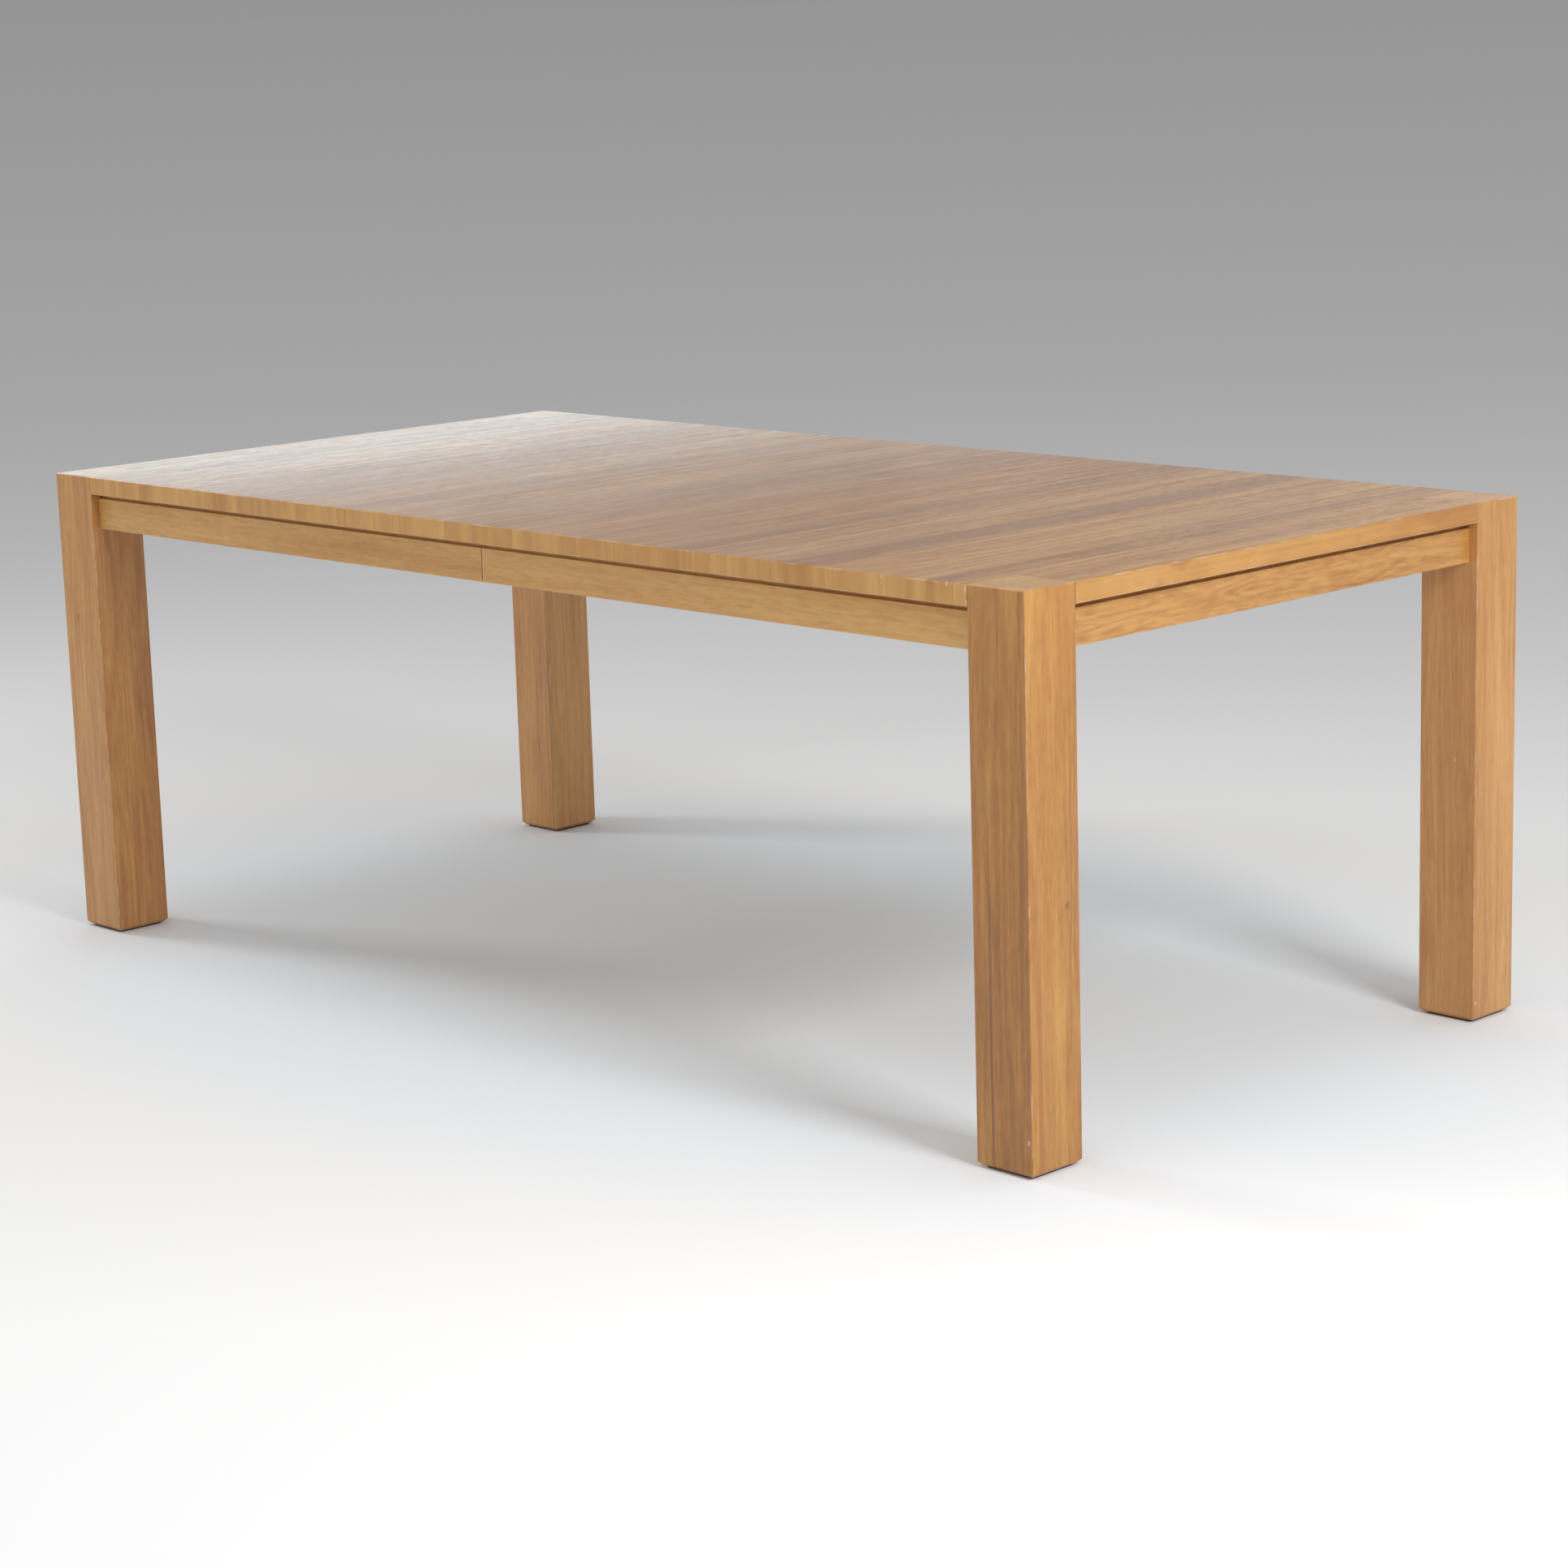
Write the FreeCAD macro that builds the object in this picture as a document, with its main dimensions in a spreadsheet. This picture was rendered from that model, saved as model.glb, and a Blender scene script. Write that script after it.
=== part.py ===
import FreeCAD, Part
import math
import os
import Sketcher

# Extension dining table with square corner legs, a thin split top, a recessed apron and geared slides.
# Millimetres. Origin on the floor at the centre of the closed table, X along its length, Z up.
# The right half is the left half turned half round about Z, so most pieces are written once.

SIZES = {
    # overall
    "table_length": 2132,
    "table_width": 1062,
    "table_height": 766,
    "slide_travel": 508,
    # top
    "top_thickness": 28.5,
    "top_edge_round": 1.5,
    "seam_gap": 0.6,
    "leg_gap": 0.3,
    # legs and feet
    "leg_side": 97,
    "leg_edge_round": 1.5,
    "foot_chamfer": 5,
    "pad_thickness": 3,
    "pad_margin": 3,
    "pad_corner_round": 6,
    # aprons
    "apron_thickness": 22,
    "apron_drop": 58,
    "apron_recess": 15,
    "apron_edge_round": 1,
    "apron_seam_gap": 1.6,
    "reveal_height": 8,
    "reveal_depth": 8,
    # dowels between aprons and legs
    "dowel_diameter": 10,
    "dowel_length": 50,
    "dowel_spacing": 22,
    "hole_slack": 1,
    "wood_fit": 0.1,
    # corner blocks and hanger bolts
    "leg_flat": 20,
    "block_thickness": 30,
    "block_margin": 1,
    "block_screw_offset": 18,
    "bolt_diameter": 8,
    "bolt_embed": 40,
    "bolt_tail": 4,
    "bolt_point": 6,
    "nut_flats": 13,
    "nut_height": 8,
    "flange_diameter": 18,
    "flange_height": 2,
    "nut_gap": 4,
    # wood screws
    "screw_diameter": 4.2,
    "screw_bite": 14,
    "screw_point": 5,
    "screw_head_diameter": 8.4,
    "screw_head_height": 2.6,
    "screw_head_fit": 0.6,
    # cleats under the top
    "cleat_side": 22,
    "cleat_block_gap": 10,
    "cleat_seam_gap": 40,
    "cleat_screw_margin": 45,
    # slide rails
    "rail_length": 900,
    "rail_thickness": 28,
    "rail_floor": 6,
    "rail_gap": 1,
    "rail_relief": 1,
    "relief_start": 12,
    "rail_screw_margin": 40,
    "rail_screw_inset": 8,
    "centre_thickness": 22,
    "tongue_drop": 15,
    "tongue_depth": 7,
    "tongue_root": 10,
    "tongue_tip": 16,
    "tongue_inset": 20,
    "dovetail_fit": 0.3,
    "stop_diameter": 5,
    "stop_cover": 4,
    "stop_inset": 10,
    "stop_wall": 1,
    "stop_margin": 3,
    # racks and pinions
    "gear_module": 2,
    "gear_face": 10,
    "gear_wall": 7,
    "gear_backlash": 0.3,
    "rack_backing": 4,
    "slot_gap": 1,
    "slot_play": 0.3,
    "axle_diameter": 6,
    "axle_grip": 12,
    "axle_fit": 0.05,
    # pins across the seam
    "seam_pin_diameter": 10,
    "seam_pin_length": 40,
    "seam_pin_nose": 3,
    "seam_pin_inner": 110,
    "seam_pin_inset": 191,
    "seam_pin_fit": 0.3,
    # locks
    "lock_cleat_gap": 35,
    "lock_rail_gap": 35,
    "lock_setback": 32,
    "plate_thickness": 2.5,
    "lock_plate_margin": 9,
    "lock_plate_round": 5,
    "lever_screw_gap": 1.5,
    "lever_thickness": 3.5,
    "lever_gap": 0.2,
    "lever_width": 22,
    "lever_nose": 12,
    "lever_tail": 26,
    "lever_corner_round": 6,
    "lever_lip": 10,
    "jaw_fit": 1.2,
    "pivot_diameter": 8,
    "pivot_fit": 0.08,
    "pivot_head_diameter": 14,
    "pivot_head_height": 2,
    "keeper_pin_diameter": 8,
    "keeper_pin_tail": 2,
    "keeper_setback": 22,
    "keeper_margin": 3,
    "keeper_front": 12,
    "keeper_screw_margin": 8,
    "plate_screw_diameter": 3.5,
    "plate_screw_length": 14,
    "plate_screw_point": 3,
    "plate_screw_head_diameter": 7,
    "plate_screw_head_height": 2,
    # cuts run past the wood by this much
    "overrun": 2,
}

PRESSURE_ANGLE = math.radians(20)
DEDENDUM_SHARE = 1.25
FLANK_STEPS = 3
PINION_TEETH = 18
RACK_SPARE_TEETH = 4
CLEAT_SCREWS = 3
RAIL_SCREWS = 3
JAW_SWEEP = 30
NEAR = 1e-4

UP = FreeCAD.Vector(0, 0, 1)
HALVES = (("left", 0), ("right", 180))
FRONT, BACK = -1, 1

doc = FreeCAD.newDocument("extension_table")
sheet = doc.addObject("Spreadsheet::Sheet", "Sizes")
for row, (alias, value) in enumerate(SIZES.items(), start=1):
    sheet.set(f"A{row}", alias)
    sheet.set(f"B{row}", str(value))
    sheet.setAlias(f"B{row}", alias)
doc.recompute()


class Names:
    # size.leg_side reads as the cell of that name in an expression
    def __getattr__(self, alias):
        if alias not in SIZES:
            raise AttributeError(alias)
        return "Sizes." + alias


size = Names()
nodes = []


def number(expression):
    return float(sheet.evalExpression(expression))


# Places that several pieces share

half_length = f"({size.table_length} / 2)"
half_width = f"({size.table_width} / 2)"
under = f"({size.table_height} - {size.top_thickness})"
apron_inner = f"({size.apron_recess} + {size.apron_thickness})"
apron_middle = f"({size.apron_recess} + {size.apron_thickness} / 2)"
apron_bottom = f"({under} - {size.apron_drop})"
reveal_bottom = f"({under} - {size.reveal_height})"
apron_heart = f"(({apron_bottom} + {reveal_bottom}) / 2)"
dowel_heights = [f"({apron_heart} + {sign} * {size.dowel_spacing} / 2)" for sign in (-1, 1)]
dowel_depth = f"({size.dowel_length} / 2 + {size.hole_slack})"
dowel_hole = f"({size.dowel_diameter} / 2 + {size.wood_fit})"
pad_inset = f"({size.foot_chamfer} + {size.pad_margin})"
screw_length = f"({size.cleat_side} + {size.screw_bite})"
screw_depth = f"({size.screw_bite} + {size.hole_slack})"
screw_hole = f"({size.screw_diameter} / 2 + {size.wood_fit})"
screw_head_hole = f"(({size.screw_head_diameter} + {size.screw_head_fit}) / 2)"
plate_screw_hole = f"({size.plate_screw_diameter} / 2 + {size.wood_fit})"
block_face = f"(2 * {size.leg_side} - {size.leg_flat})"
block_back = f"({block_face} + {size.block_thickness} * sqrt(2))"
bolt_spacing = f"({size.flange_diameter} + {size.nut_gap})"
block_drop = f"({bolt_spacing} + {size.flange_diameter} + 2 * {size.block_margin})"
block_bottom = f"({under} - {block_drop})"
block_middle = f"({under} - {block_drop} / 2)"
block_screw_place = f"({block_face} - {apron_inner} + {size.block_screw_offset})"
bolt_start = f"({size.leg_side} - {size.leg_flat} / 2)"
block_screw_seat = f"({apron_inner} + {size.cleat_side})"
bolt_heights = [f"({block_middle} + {sign} * {bolt_spacing} / 2)" for sign in (-1, 1)]
cleat_start = f"({block_back} - {apron_inner} + {size.cleat_block_gap})"
cleat_middle = f"({apron_inner} + {size.cleat_side} / 2)"
cleat_edge = f"({apron_inner} + {size.cleat_side})"
rail_face = f"({size.centre_thickness} / 2 + {size.rail_gap})"
rail_outside = f"({rail_face} + {size.rail_thickness})"
rail_screw_line = f"({rail_outside} - {size.rail_screw_inset})"
stop_place = f"({size.rail_length} / 2 - {size.stop_inset})"
stop_line = f"({rail_face} + {size.stop_wall} + {size.stop_diameter} / 2)"
tongue_slope = f"(({size.tongue_tip} - {size.tongue_root}) / 2 / {size.tongue_depth})"
tongue_start = f"({size.rail_length} / 2 - {size.tongue_inset})"
tongue_end = (
    f"({stop_place} - {size.stop_diameter} / 2 - {size.stop_margin} - {size.slide_travel} / 2)"
)
gear_radius = f"({size.gear_module} * {PINION_TEETH} / 2)"
gear_outside = f"({gear_radius} + {size.gear_module})"
gear_pitch = f"(pi * {size.gear_module})"
rack_teeth = f"(ceil({size.slide_travel} / 2 / {gear_pitch}) + 2 * {RACK_SPARE_TEETH})"
rack_start = f"({RACK_SPARE_TEETH} * {gear_pitch})"
rack_root = f"({gear_radius} + {DEDENDUM_SHARE} * {size.gear_module})"
rack_back = f"({rack_root} + {size.rack_backing})"
gear_top = f"({size.tongue_drop} + {size.tongue_tip} / 2 + {size.gear_wall})"
gear_bottom = f"({gear_top} + {size.gear_face})"
rail_height = f"({gear_bottom} + {size.rail_floor})"
stop_length = f"({rail_height} - {size.stop_cover})"
axle_length = f"({size.rail_floor} + {size.gear_face} + {size.axle_grip})"
seam_pin_height = f"({size.table_height} - {size.top_thickness} / 2)"
seam_pin_depth = f"({size.seam_pin_length} / 2 + {size.hole_slack})"
seam_pin_lines = [
    f"{sign} * {place}"
    for sign in (-1, 1)
    for place in (size.seam_pin_inner, f"({half_width} - {size.seam_pin_inset})")
]
lever_top = f"({size.plate_thickness} + {size.lever_gap})"
lever_bottom = f"({lever_top} + {size.lever_thickness})"
lever_screw_line = (
    f"({size.lever_width} / 2 + {size.plate_screw_head_diameter} / 2 + {size.lever_screw_gap})"
)
lock_reach = f"({size.lock_setback} + {size.keeper_setback})"
lock_offset = f"({half_width} - {cleat_edge} - {size.lock_cleat_gap} - {size.lever_tail})"
rail_offset = (
    f"({lock_offset} - {lock_reach} - {size.lever_nose} - {size.lock_rail_gap} - {rail_outside})"
)
cleat_height = f"({under} - {size.cleat_side})"
long_cleat = (f"({cleat_start} - {half_length})", f"(-{size.cleat_seam_gap})")
end_cleat = (f"({cleat_start} - {half_width})", f"({half_width} - {cleat_start})")


# Features

def new_body(label):
    body = doc.addObject("PartDesign::Body", label)
    body.Label = label
    return body


def sketch_on(body, role, offset="0"):
    plane = next(part for part in body.Origin.OriginFeatures if part.Role == role)
    sketch = body.newObject("Sketcher::SketchObject", body.Label + "_sketch")
    sketch.AttachmentSupport = [(plane, "")]
    sketch.MapMode = "FlatFace"
    sketch.setExpression("AttachmentOffset.Base.z", offset)
    return sketch


def hold(sketch, kind, geometry, point, expression):
    index = sketch.addConstraint(
        Sketcher.Constraint(kind, -1, 1, geometry, point, number(expression))
    )
    sketch.setExpression(f"Constraints[{index}]", expression)


def polygon(sketch, corners):
    points = [FreeCAD.Vector(number(across), number(along), 0) for across, along in corners]
    count = len(points)
    first = sketch.GeometryCount
    for index in range(count):
        sketch.addGeometry(Part.LineSegment(points[index], points[(index + 1) % count]), False)
    for index in range(count):
        following = first + (index + 1) % count
        sketch.addConstraint(Sketcher.Constraint("Coincident", first + index, 2, following, 1))
    for index, (across, along) in enumerate(corners):
        hold(sketch, "DistanceX", first + index, 1, across)
        hold(sketch, "DistanceY", first + index, 1, along)
    return sketch


def rectangle(sketch, low, high):
    corners = [low, (high[0], low[1]), high, (low[0], high[1])]
    return polygon(sketch, corners)


def circles(sketch, centres, radius):
    for across, along in centres:
        middle = FreeCAD.Vector(number(across), number(along), 0)
        index = sketch.addGeometry(Part.Circle(middle, UP, number(radius)), False)
        hold(sketch, "DistanceX", index, 3, across)
        hold(sketch, "DistanceY", index, 3, along)
        ring = sketch.addConstraint(Sketcher.Constraint("Radius", index, number(radius)))
        sketch.setExpression(f"Constraints[{ring}]", radius)
    return sketch


def extrude(body, kind, sketch, length, turned=False):
    feature = body.newObject("PartDesign::" + kind, f"{body.Label}_{kind}")
    feature.Profile = sketch
    feature.Reversed = turned
    feature.setExpression("Length", length)
    return feature


def pad(body, sketch, length, turned=False):
    return extrude(body, "Pad", sketch, length, turned)


# A pocket cuts against its sketch's normal, or along it when turned
def pocket(body, sketch, length, turned=False):
    return extrude(body, "Pocket", sketch, length, turned)


def spin(body, sketch):
    feature = body.newObject("PartDesign::Revolution", body.Label + "_turning")
    feature.Profile = sketch
    feature.ReferenceAxis = (sketch, ["V_Axis"])
    return feature


def edges_where(body, test):
    doc.recompute()
    edges = enumerate(body.Tip.Shape.Edges, start=1)
    return [f"Edge{index}" for index, edge in edges if test(edge.BoundBox)]


def soften(body, kind, amount, test):
    base = body.Tip
    chosen = edges_where(body, test)
    feature = body.newObject("PartDesign::" + kind, f"{body.Label}_{kind}")
    feature.Base = (base, chosen)
    feature.setExpression("Radius" if kind == "Fillet" else "Size", amount)
    return feature


def upright(box):
    return box.ZLength > NEAR and box.XLength < NEAR and box.YLength < NEAR


# Placing

def settle(item, turn, x="0", y="0", z="0", own_turn=0):
    sign = -1 if turn else 1
    item.Placement = FreeCAD.Placement(FreeCAD.Vector(), FreeCAD.Rotation(UP, turn + own_turn))
    for axis, place in (("x", f"{sign} * ({x})"), ("y", f"{sign} * ({y})"), ("z", z)):
        item.setExpression(f"Placement.Base.{axis}", place)


def keep(item):
    nodes.append(item)
    return item


def side_name(half, side):
    facing = side if half == "left" else -side
    return ("front" if facing == FRONT else "back") + "_" + half


# A corner's own frame starts at the leg's outer corner, with x and y running inwards
def corner_turn(side):
    return 0 if side == FRONT else -90


def corner_place(side, across, along):
    if side == FRONT:
        return f"{across} - {half_length}", f"{along} - {half_width}"
    return f"{along} - {half_length}", f"{half_width} - ({across})"


def spread(start, end, margin, count):
    step = f"({end} - {start} - 2 * {margin}) / {count - 1}"
    return [f"({start} + {margin} + {index} * {step})" for index in range(count)]


# A group holds copies of one fastener, each with its own place and direction
def group(label, turn, master, places):
    copies = []
    for x, y, z, rotation in places:
        copy = doc.addObject("App::Link", label + "_copy")
        copy.LinkedObject = master
        copy.Placement = FreeCAD.Placement(FreeCAD.Vector(), rotation)
        for axis, place in (("x", x), ("y", y), ("z", z)):
            copy.setExpression(f"Placement.Base.{axis}", place)
        copies.append(copy)
    holder = doc.addObject("Part::Compound", label)
    holder.Label = label
    holder.Links = copies
    settle(holder, turn)
    return keep(holder)


def towards(x, y, z):
    return FreeCAD.Rotation(UP, FreeCAD.Vector(x, y, z))


# Legs and feet

def make_leg(half, turn, side):
    leg = new_body("leg_" + side_name(half, side))
    side_length = size.leg_side
    foot = sketch_on(leg, "XY_Plane", size.pad_thickness)
    rectangle(foot, ("0", "0"), (side_length, side_length))
    pad(leg, foot, f"{size.table_height} - {size.pad_thickness}")
    bottom, top = number(size.pad_thickness), number(size.table_height)
    soften(leg, "Chamfer", size.foot_chamfer, lambda box: box.ZMax < bottom + NEAR)

    # the upright edges with their slanted ends at the foot, and the two outer edges of the leg's top
    def worn(box):
        rising = box.ZLength > NEAR
        return rising or box.ZMin > top - NEAR and (box.XMax < NEAR or box.YMax < NEAR)

    soften(leg, "Fillet", size.leg_edge_round, worn)
    holes = [(apron_middle, height) for height in dowel_heights]
    pocket(leg, circles(sketch_on(leg, "YZ_Plane", side_length), holes, dowel_hole), dowel_depth)
    inner_side = sketch_on(leg, "XZ_Plane", f"-{side_length}")
    pocket(leg, circles(inner_side, holes, dowel_hole), dowel_depth, True)
    beyond = f"{side_length} + {size.overrun}"
    back = f"{side_length} - {size.leg_flat} - {size.overrun}"
    flat = [(beyond, back), (beyond, beyond), (back, beyond)]
    pocket(leg, polygon(sketch_on(leg, "XY_Plane", under), flat), block_drop)
    pocket(leg, bolt_sketch(leg), f"{size.bolt_embed} + {size.hole_slack}", True)
    x, y = corner_place(side, "0", "0")
    settle(leg, turn, x, y, own_turn=corner_turn(side))
    return keep(leg)


# The bolt holes lie on the plane of the leg's flat, which faces the middle of the table
def bolt_sketch(body):
    sketch = sketch_on(body, "XZ_Plane")
    turned = FreeCAD.Rotation(FreeCAD.Vector(0, 1, 0), -45)
    sketch.AttachmentOffset = FreeCAD.Placement(FreeCAD.Vector(), turned)
    sketch.setExpression("AttachmentOffset.Base.x", bolt_start)
    sketch.setExpression("AttachmentOffset.Base.z", f"-{bolt_start}")
    hole = f"{size.bolt_diameter} / 2 + {size.wood_fit}"
    return circles(sketch, [("0", height) for height in bolt_heights], hole)


def make_foot_pad():
    foot = new_body("foot_pad")
    low = pad_inset
    high = f"{size.leg_side} - {pad_inset}"
    pad(foot, rectangle(sketch_on(foot, "XY_Plane"), (low, low), (high, high)), size.pad_thickness)
    soften(foot, "Fillet", size.pad_corner_round, upright)
    return foot


# Tops

def make_top(half, turn, screw_places, plate_screw_places):
    top = new_body("top_" + half)
    end = f"-{half_length}"
    seam = f"-{size.seam_gap} / 2"
    cut = f"({size.leg_side} + {size.leg_gap})"
    cut_x = f"{cut} - {half_length}"
    outline = [
        (cut_x, f"-{half_width}"),
        (seam, f"-{half_width}"),
        (seam, half_width),
        (cut_x, half_width),
        (cut_x, f"{half_width} - {cut}"),
        (end, f"{half_width} - {cut}"),
        (end, f"{cut} - {half_width}"),
        (cut_x, f"{cut} - {half_width}"),
    ]
    pad(top, polygon(sketch_on(top, "XY_Plane", under), outline), size.top_thickness)
    side_line, end_line = number(half_width), number(half_length)

    def outer(box):
        on_side = box.YLength < NEAR and abs(box.YMin) > side_line - NEAR
        on_end = box.XLength < NEAR and abs(box.XMin) > end_line - NEAR
        return box.ZLength < NEAR and (on_side or on_end)

    soften(top, "Fillet", size.top_edge_round, outer)
    pins = [(line, seam_pin_height) for line in seam_pin_lines]
    fit = size.wood_fit if half == "left" else size.seam_pin_fit
    pin_hole = f"{size.seam_pin_diameter} / 2 + {fit}"
    pocket(top, circles(sketch_on(top, "YZ_Plane", seam), pins, pin_hole), seam_pin_depth)
    screws = circles(sketch_on(top, "XY_Plane", under), screw_places, screw_hole)
    pocket(top, screws, screw_depth, True)
    small = circles(sketch_on(top, "XY_Plane", under), plate_screw_places, plate_screw_hole)
    pocket(top, small, f"{size.plate_screw_length} - {size.plate_thickness} + {size.hole_slack}", True)
    settle(top, turn)
    return keep(top)


# Aprons and cleats

def apron_profile(sketch, sign, half_size):
    outside = f"{sign} * ({half_size} - {size.apron_recess})"
    inside = f"{sign} * ({half_size} - {apron_inner})"
    step = f"{sign} * ({half_size} - {size.apron_recess} - {size.reveal_depth})"
    corners = [
        (outside, apron_bottom),
        (inside, apron_bottom),
        (inside, under),
        (step, under),
        (step, reveal_bottom),
        (outside, reveal_bottom),
    ]
    return polygon(sketch, corners)


# The long edges that hands meet: both at the bottom, and the outer one under the reveal
def ease_apron(apron, along, across):
    doc.recompute()
    whole = apron.Tip.Shape.BoundBox
    length = getattr(whole, along + "Length")
    low, reveal = number(apron_bottom), number(reveal_bottom)

    def farthest(box):
        return max(abs(getattr(box, across + "Min")), abs(getattr(box, across + "Max")))

    def worn(box):
        at_bottom = abs(box.ZMax - low) < NEAR
        at_reveal = abs(box.ZMax - reveal) < NEAR and farthest(box) > farthest(whole) - NEAR
        return getattr(box, along + "Length") > length - NEAR and (at_bottom or at_reveal)

    soften(apron, "Fillet", size.apron_edge_round, worn)


def make_long_apron(half, turn, side):
    apron = new_body("apron_" + side_name(half, side))
    start = f"{size.leg_side} - {half_length}"
    section = apron_profile(sketch_on(apron, "YZ_Plane", start), side, half_width)
    pad(apron, section, f"{half_length} - {size.leg_side} - {size.apron_seam_gap} / 2")
    ease_apron(apron, "X", "Y")
    line = f"{side} * ({half_width} - {apron_middle})"
    holes = [(line, height) for height in dowel_heights]
    pocket(apron, circles(sketch_on(apron, "YZ_Plane", start), holes, dowel_hole), dowel_depth, True)
    fit = size.wood_fit if half == "left" else size.seam_pin_fit
    pin_hole = f"{size.seam_pin_diameter} / 2 + {fit}"
    seam = sketch_on(apron, "YZ_Plane", f"-{size.apron_seam_gap} / 2")
    pocket(apron, circles(seam, [(line, apron_heart)], pin_hole), seam_pin_depth)
    face = sketch_on(apron, "XZ_Plane", f"{-side} * ({half_width} - {apron_inner})")
    screw = [(f"{block_screw_place} - {half_length}", block_middle)]
    pocket(apron, circles(face, screw, screw_hole), screw_depth, side == FRONT)
    settle(apron, turn)
    return keep(apron)


def make_end_apron(half, turn):
    apron = new_body("apron_end_" + half)
    reach = f"({half_width} - {size.leg_side})"
    section = apron_profile(sketch_on(apron, "XZ_Plane", reach), -1, half_length)
    pad(apron, section, f"2 * {reach}", True)
    ease_apron(apron, "Y", "X")
    line = f"{apron_middle} - {half_length}"
    holes = [(line, height) for height in dowel_heights]
    pocket(apron, circles(sketch_on(apron, "XZ_Plane", reach), holes, dowel_hole), dowel_depth)
    far_end = sketch_on(apron, "XZ_Plane", f"-{reach}")
    pocket(apron, circles(far_end, holes, dowel_hole), dowel_depth, True)
    screws = [(f"{sign} * ({half_width} - {block_screw_place})", block_middle) for sign in (-1, 1)]
    face = sketch_on(apron, "YZ_Plane", f"{apron_inner} - {half_length}")
    pocket(apron, circles(face, screws, screw_hole), screw_depth)
    settle(apron, turn)
    return keep(apron)


# Cleats are glued to the aprons, and screws go up through them into the top
long_cleat_screws = spread(*long_cleat, size.cleat_screw_margin, CLEAT_SCREWS)
end_cleat_screws = spread(*end_cleat, size.cleat_screw_margin, CLEAT_SCREWS)


def make_long_cleat(half, turn, side):
    cleat = new_body("cleat_" + side_name(half, side))
    near = f"{side} * ({half_width} - {apron_inner})"
    far = f"{side} * ({half_width} - {cleat_edge})"
    section = sketch_on(cleat, "YZ_Plane", long_cleat[0])
    rectangle(section, (near, cleat_height), (far, under))
    pad(cleat, section, f"{long_cleat[1]} - {long_cleat[0]}")
    line = f"{side} * ({half_width} - {cleat_middle})"
    screws = [(place, line) for place in long_cleat_screws]
    pocket(cleat, circles(sketch_on(cleat, "XY_Plane", under), screws, screw_hole), size.cleat_side)
    settle(cleat, turn)
    return keep(cleat)


def make_end_cleat(half, turn):
    cleat = new_body("cleat_end_" + half)
    near, far = f"{apron_inner} - {half_length}", f"{cleat_edge} - {half_length}"
    section = sketch_on(cleat, "XZ_Plane", end_cleat[1])
    rectangle(section, (near, cleat_height), (far, under))
    pad(cleat, section, f"{end_cleat[1]} - {end_cleat[0]}", True)
    screws = [(f"{cleat_middle} - {half_length}", place) for place in end_cleat_screws]
    pocket(cleat, circles(sketch_on(cleat, "XY_Plane", under), screws, screw_hole), size.cleat_side)
    settle(cleat, turn)
    return keep(cleat)


# Corner blocks

def make_corner_block(half, turn, side):
    block = new_body("corner_block_" + side_name(half, side))
    near, far = f"({block_face} - {apron_inner})", f"({block_back} - {apron_inner})"
    plan = [(near, apron_inner), (far, apron_inner), (apron_inner, far), (apron_inner, near)]
    pad(block, polygon(sketch_on(block, "XY_Plane", block_bottom), plan), block_drop)
    pocket(block, bolt_sketch(block), f"{size.block_thickness} + {size.overrun}")
    hole = [(block_screw_place, block_middle)]
    for start, radius, length in (
        (apron_inner, screw_hole, size.cleat_side),
        (block_screw_seat, screw_head_hole, size.block_thickness),
    ):
        pocket(block, circles(sketch_on(block, "XZ_Plane", f"-{start}"), hole, radius), length)
        pocket(block, circles(sketch_on(block, "YZ_Plane", start), hole, radius), length, True)
    x, y = corner_place(side, "0", "0")
    settle(block, turn, x, y, own_turn=corner_turn(side))
    return keep(block)


# Fasteners stand on their own axis: the seat is at zero and the shank runs up

def turned_piece(label, profile):
    piece = new_body(label)
    spin(piece, polygon(sketch_on(piece, "XZ_Plane"), profile))
    return piece


def make_screw(label, diameter, length, point, head_diameter, head_height):
    head, shank = f"{head_diameter} / 2", f"{diameter} / 2"
    profile = [
        ("0", f"-{head_height}"),
        (head, f"-{head_height}"),
        (head, "0"),
        (shank, "0"),
        (shank, f"{length} - {point}"),
        ("0", length),
    ]
    return turned_piece(label, profile)


def make_hanger_bolt():
    shank = f"{size.bolt_diameter} / 2"
    outer_end = f"{size.block_thickness} + {size.nut_height} + {size.bolt_tail}"
    profile = [
        ("0", f"-{size.bolt_embed}"),
        (shank, f"{size.bolt_point} - {size.bolt_embed}"),
        (shank, outer_end),
        ("0", outer_end),
    ]
    return turned_piece("hanger_bolt", profile)


def make_flange_nut():
    nut = new_body("flange_nut")
    axis = [("0", "0")]
    flange = circles(sketch_on(nut, "XY_Plane"), axis, f"{size.flange_diameter} / 2")
    pad(nut, flange, size.flange_height)
    flat, point = f"{size.nut_flats} / 2", f"{size.nut_flats} / sqrt(3)"
    hexagon = [
        (point, "0"),
        (f"{point} / 2", flat),
        (f"-{point} / 2", flat),
        (f"-{point}", "0"),
        (f"-{point} / 2", f"-{flat}"),
        (f"{point} / 2", f"-{flat}"),
    ]
    pad(nut, polygon(sketch_on(nut, "XY_Plane"), hexagon), size.nut_height)
    bore = f"{size.bolt_diameter} / 2 + {size.wood_fit}"
    pocket(nut, circles(sketch_on(nut, "XY_Plane"), axis, bore), size.nut_height, True)
    return nut


def make_round_pin(label, diameter, length):
    piece = new_body(label)
    pad(piece, circles(sketch_on(piece, "XY_Plane"), [("0", "0")], f"{diameter} / 2"), length)
    return piece


# The free end of a seam pin is rounded, so that it finds its hole as the table closes
def make_seam_pin():
    pin = make_round_pin("seam_pin", size.seam_pin_diameter, size.seam_pin_length)
    end = number(size.seam_pin_length)
    soften(pin, "Fillet", size.seam_pin_nose, lambda box: box.ZMin > end - NEAR)
    return pin


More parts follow.
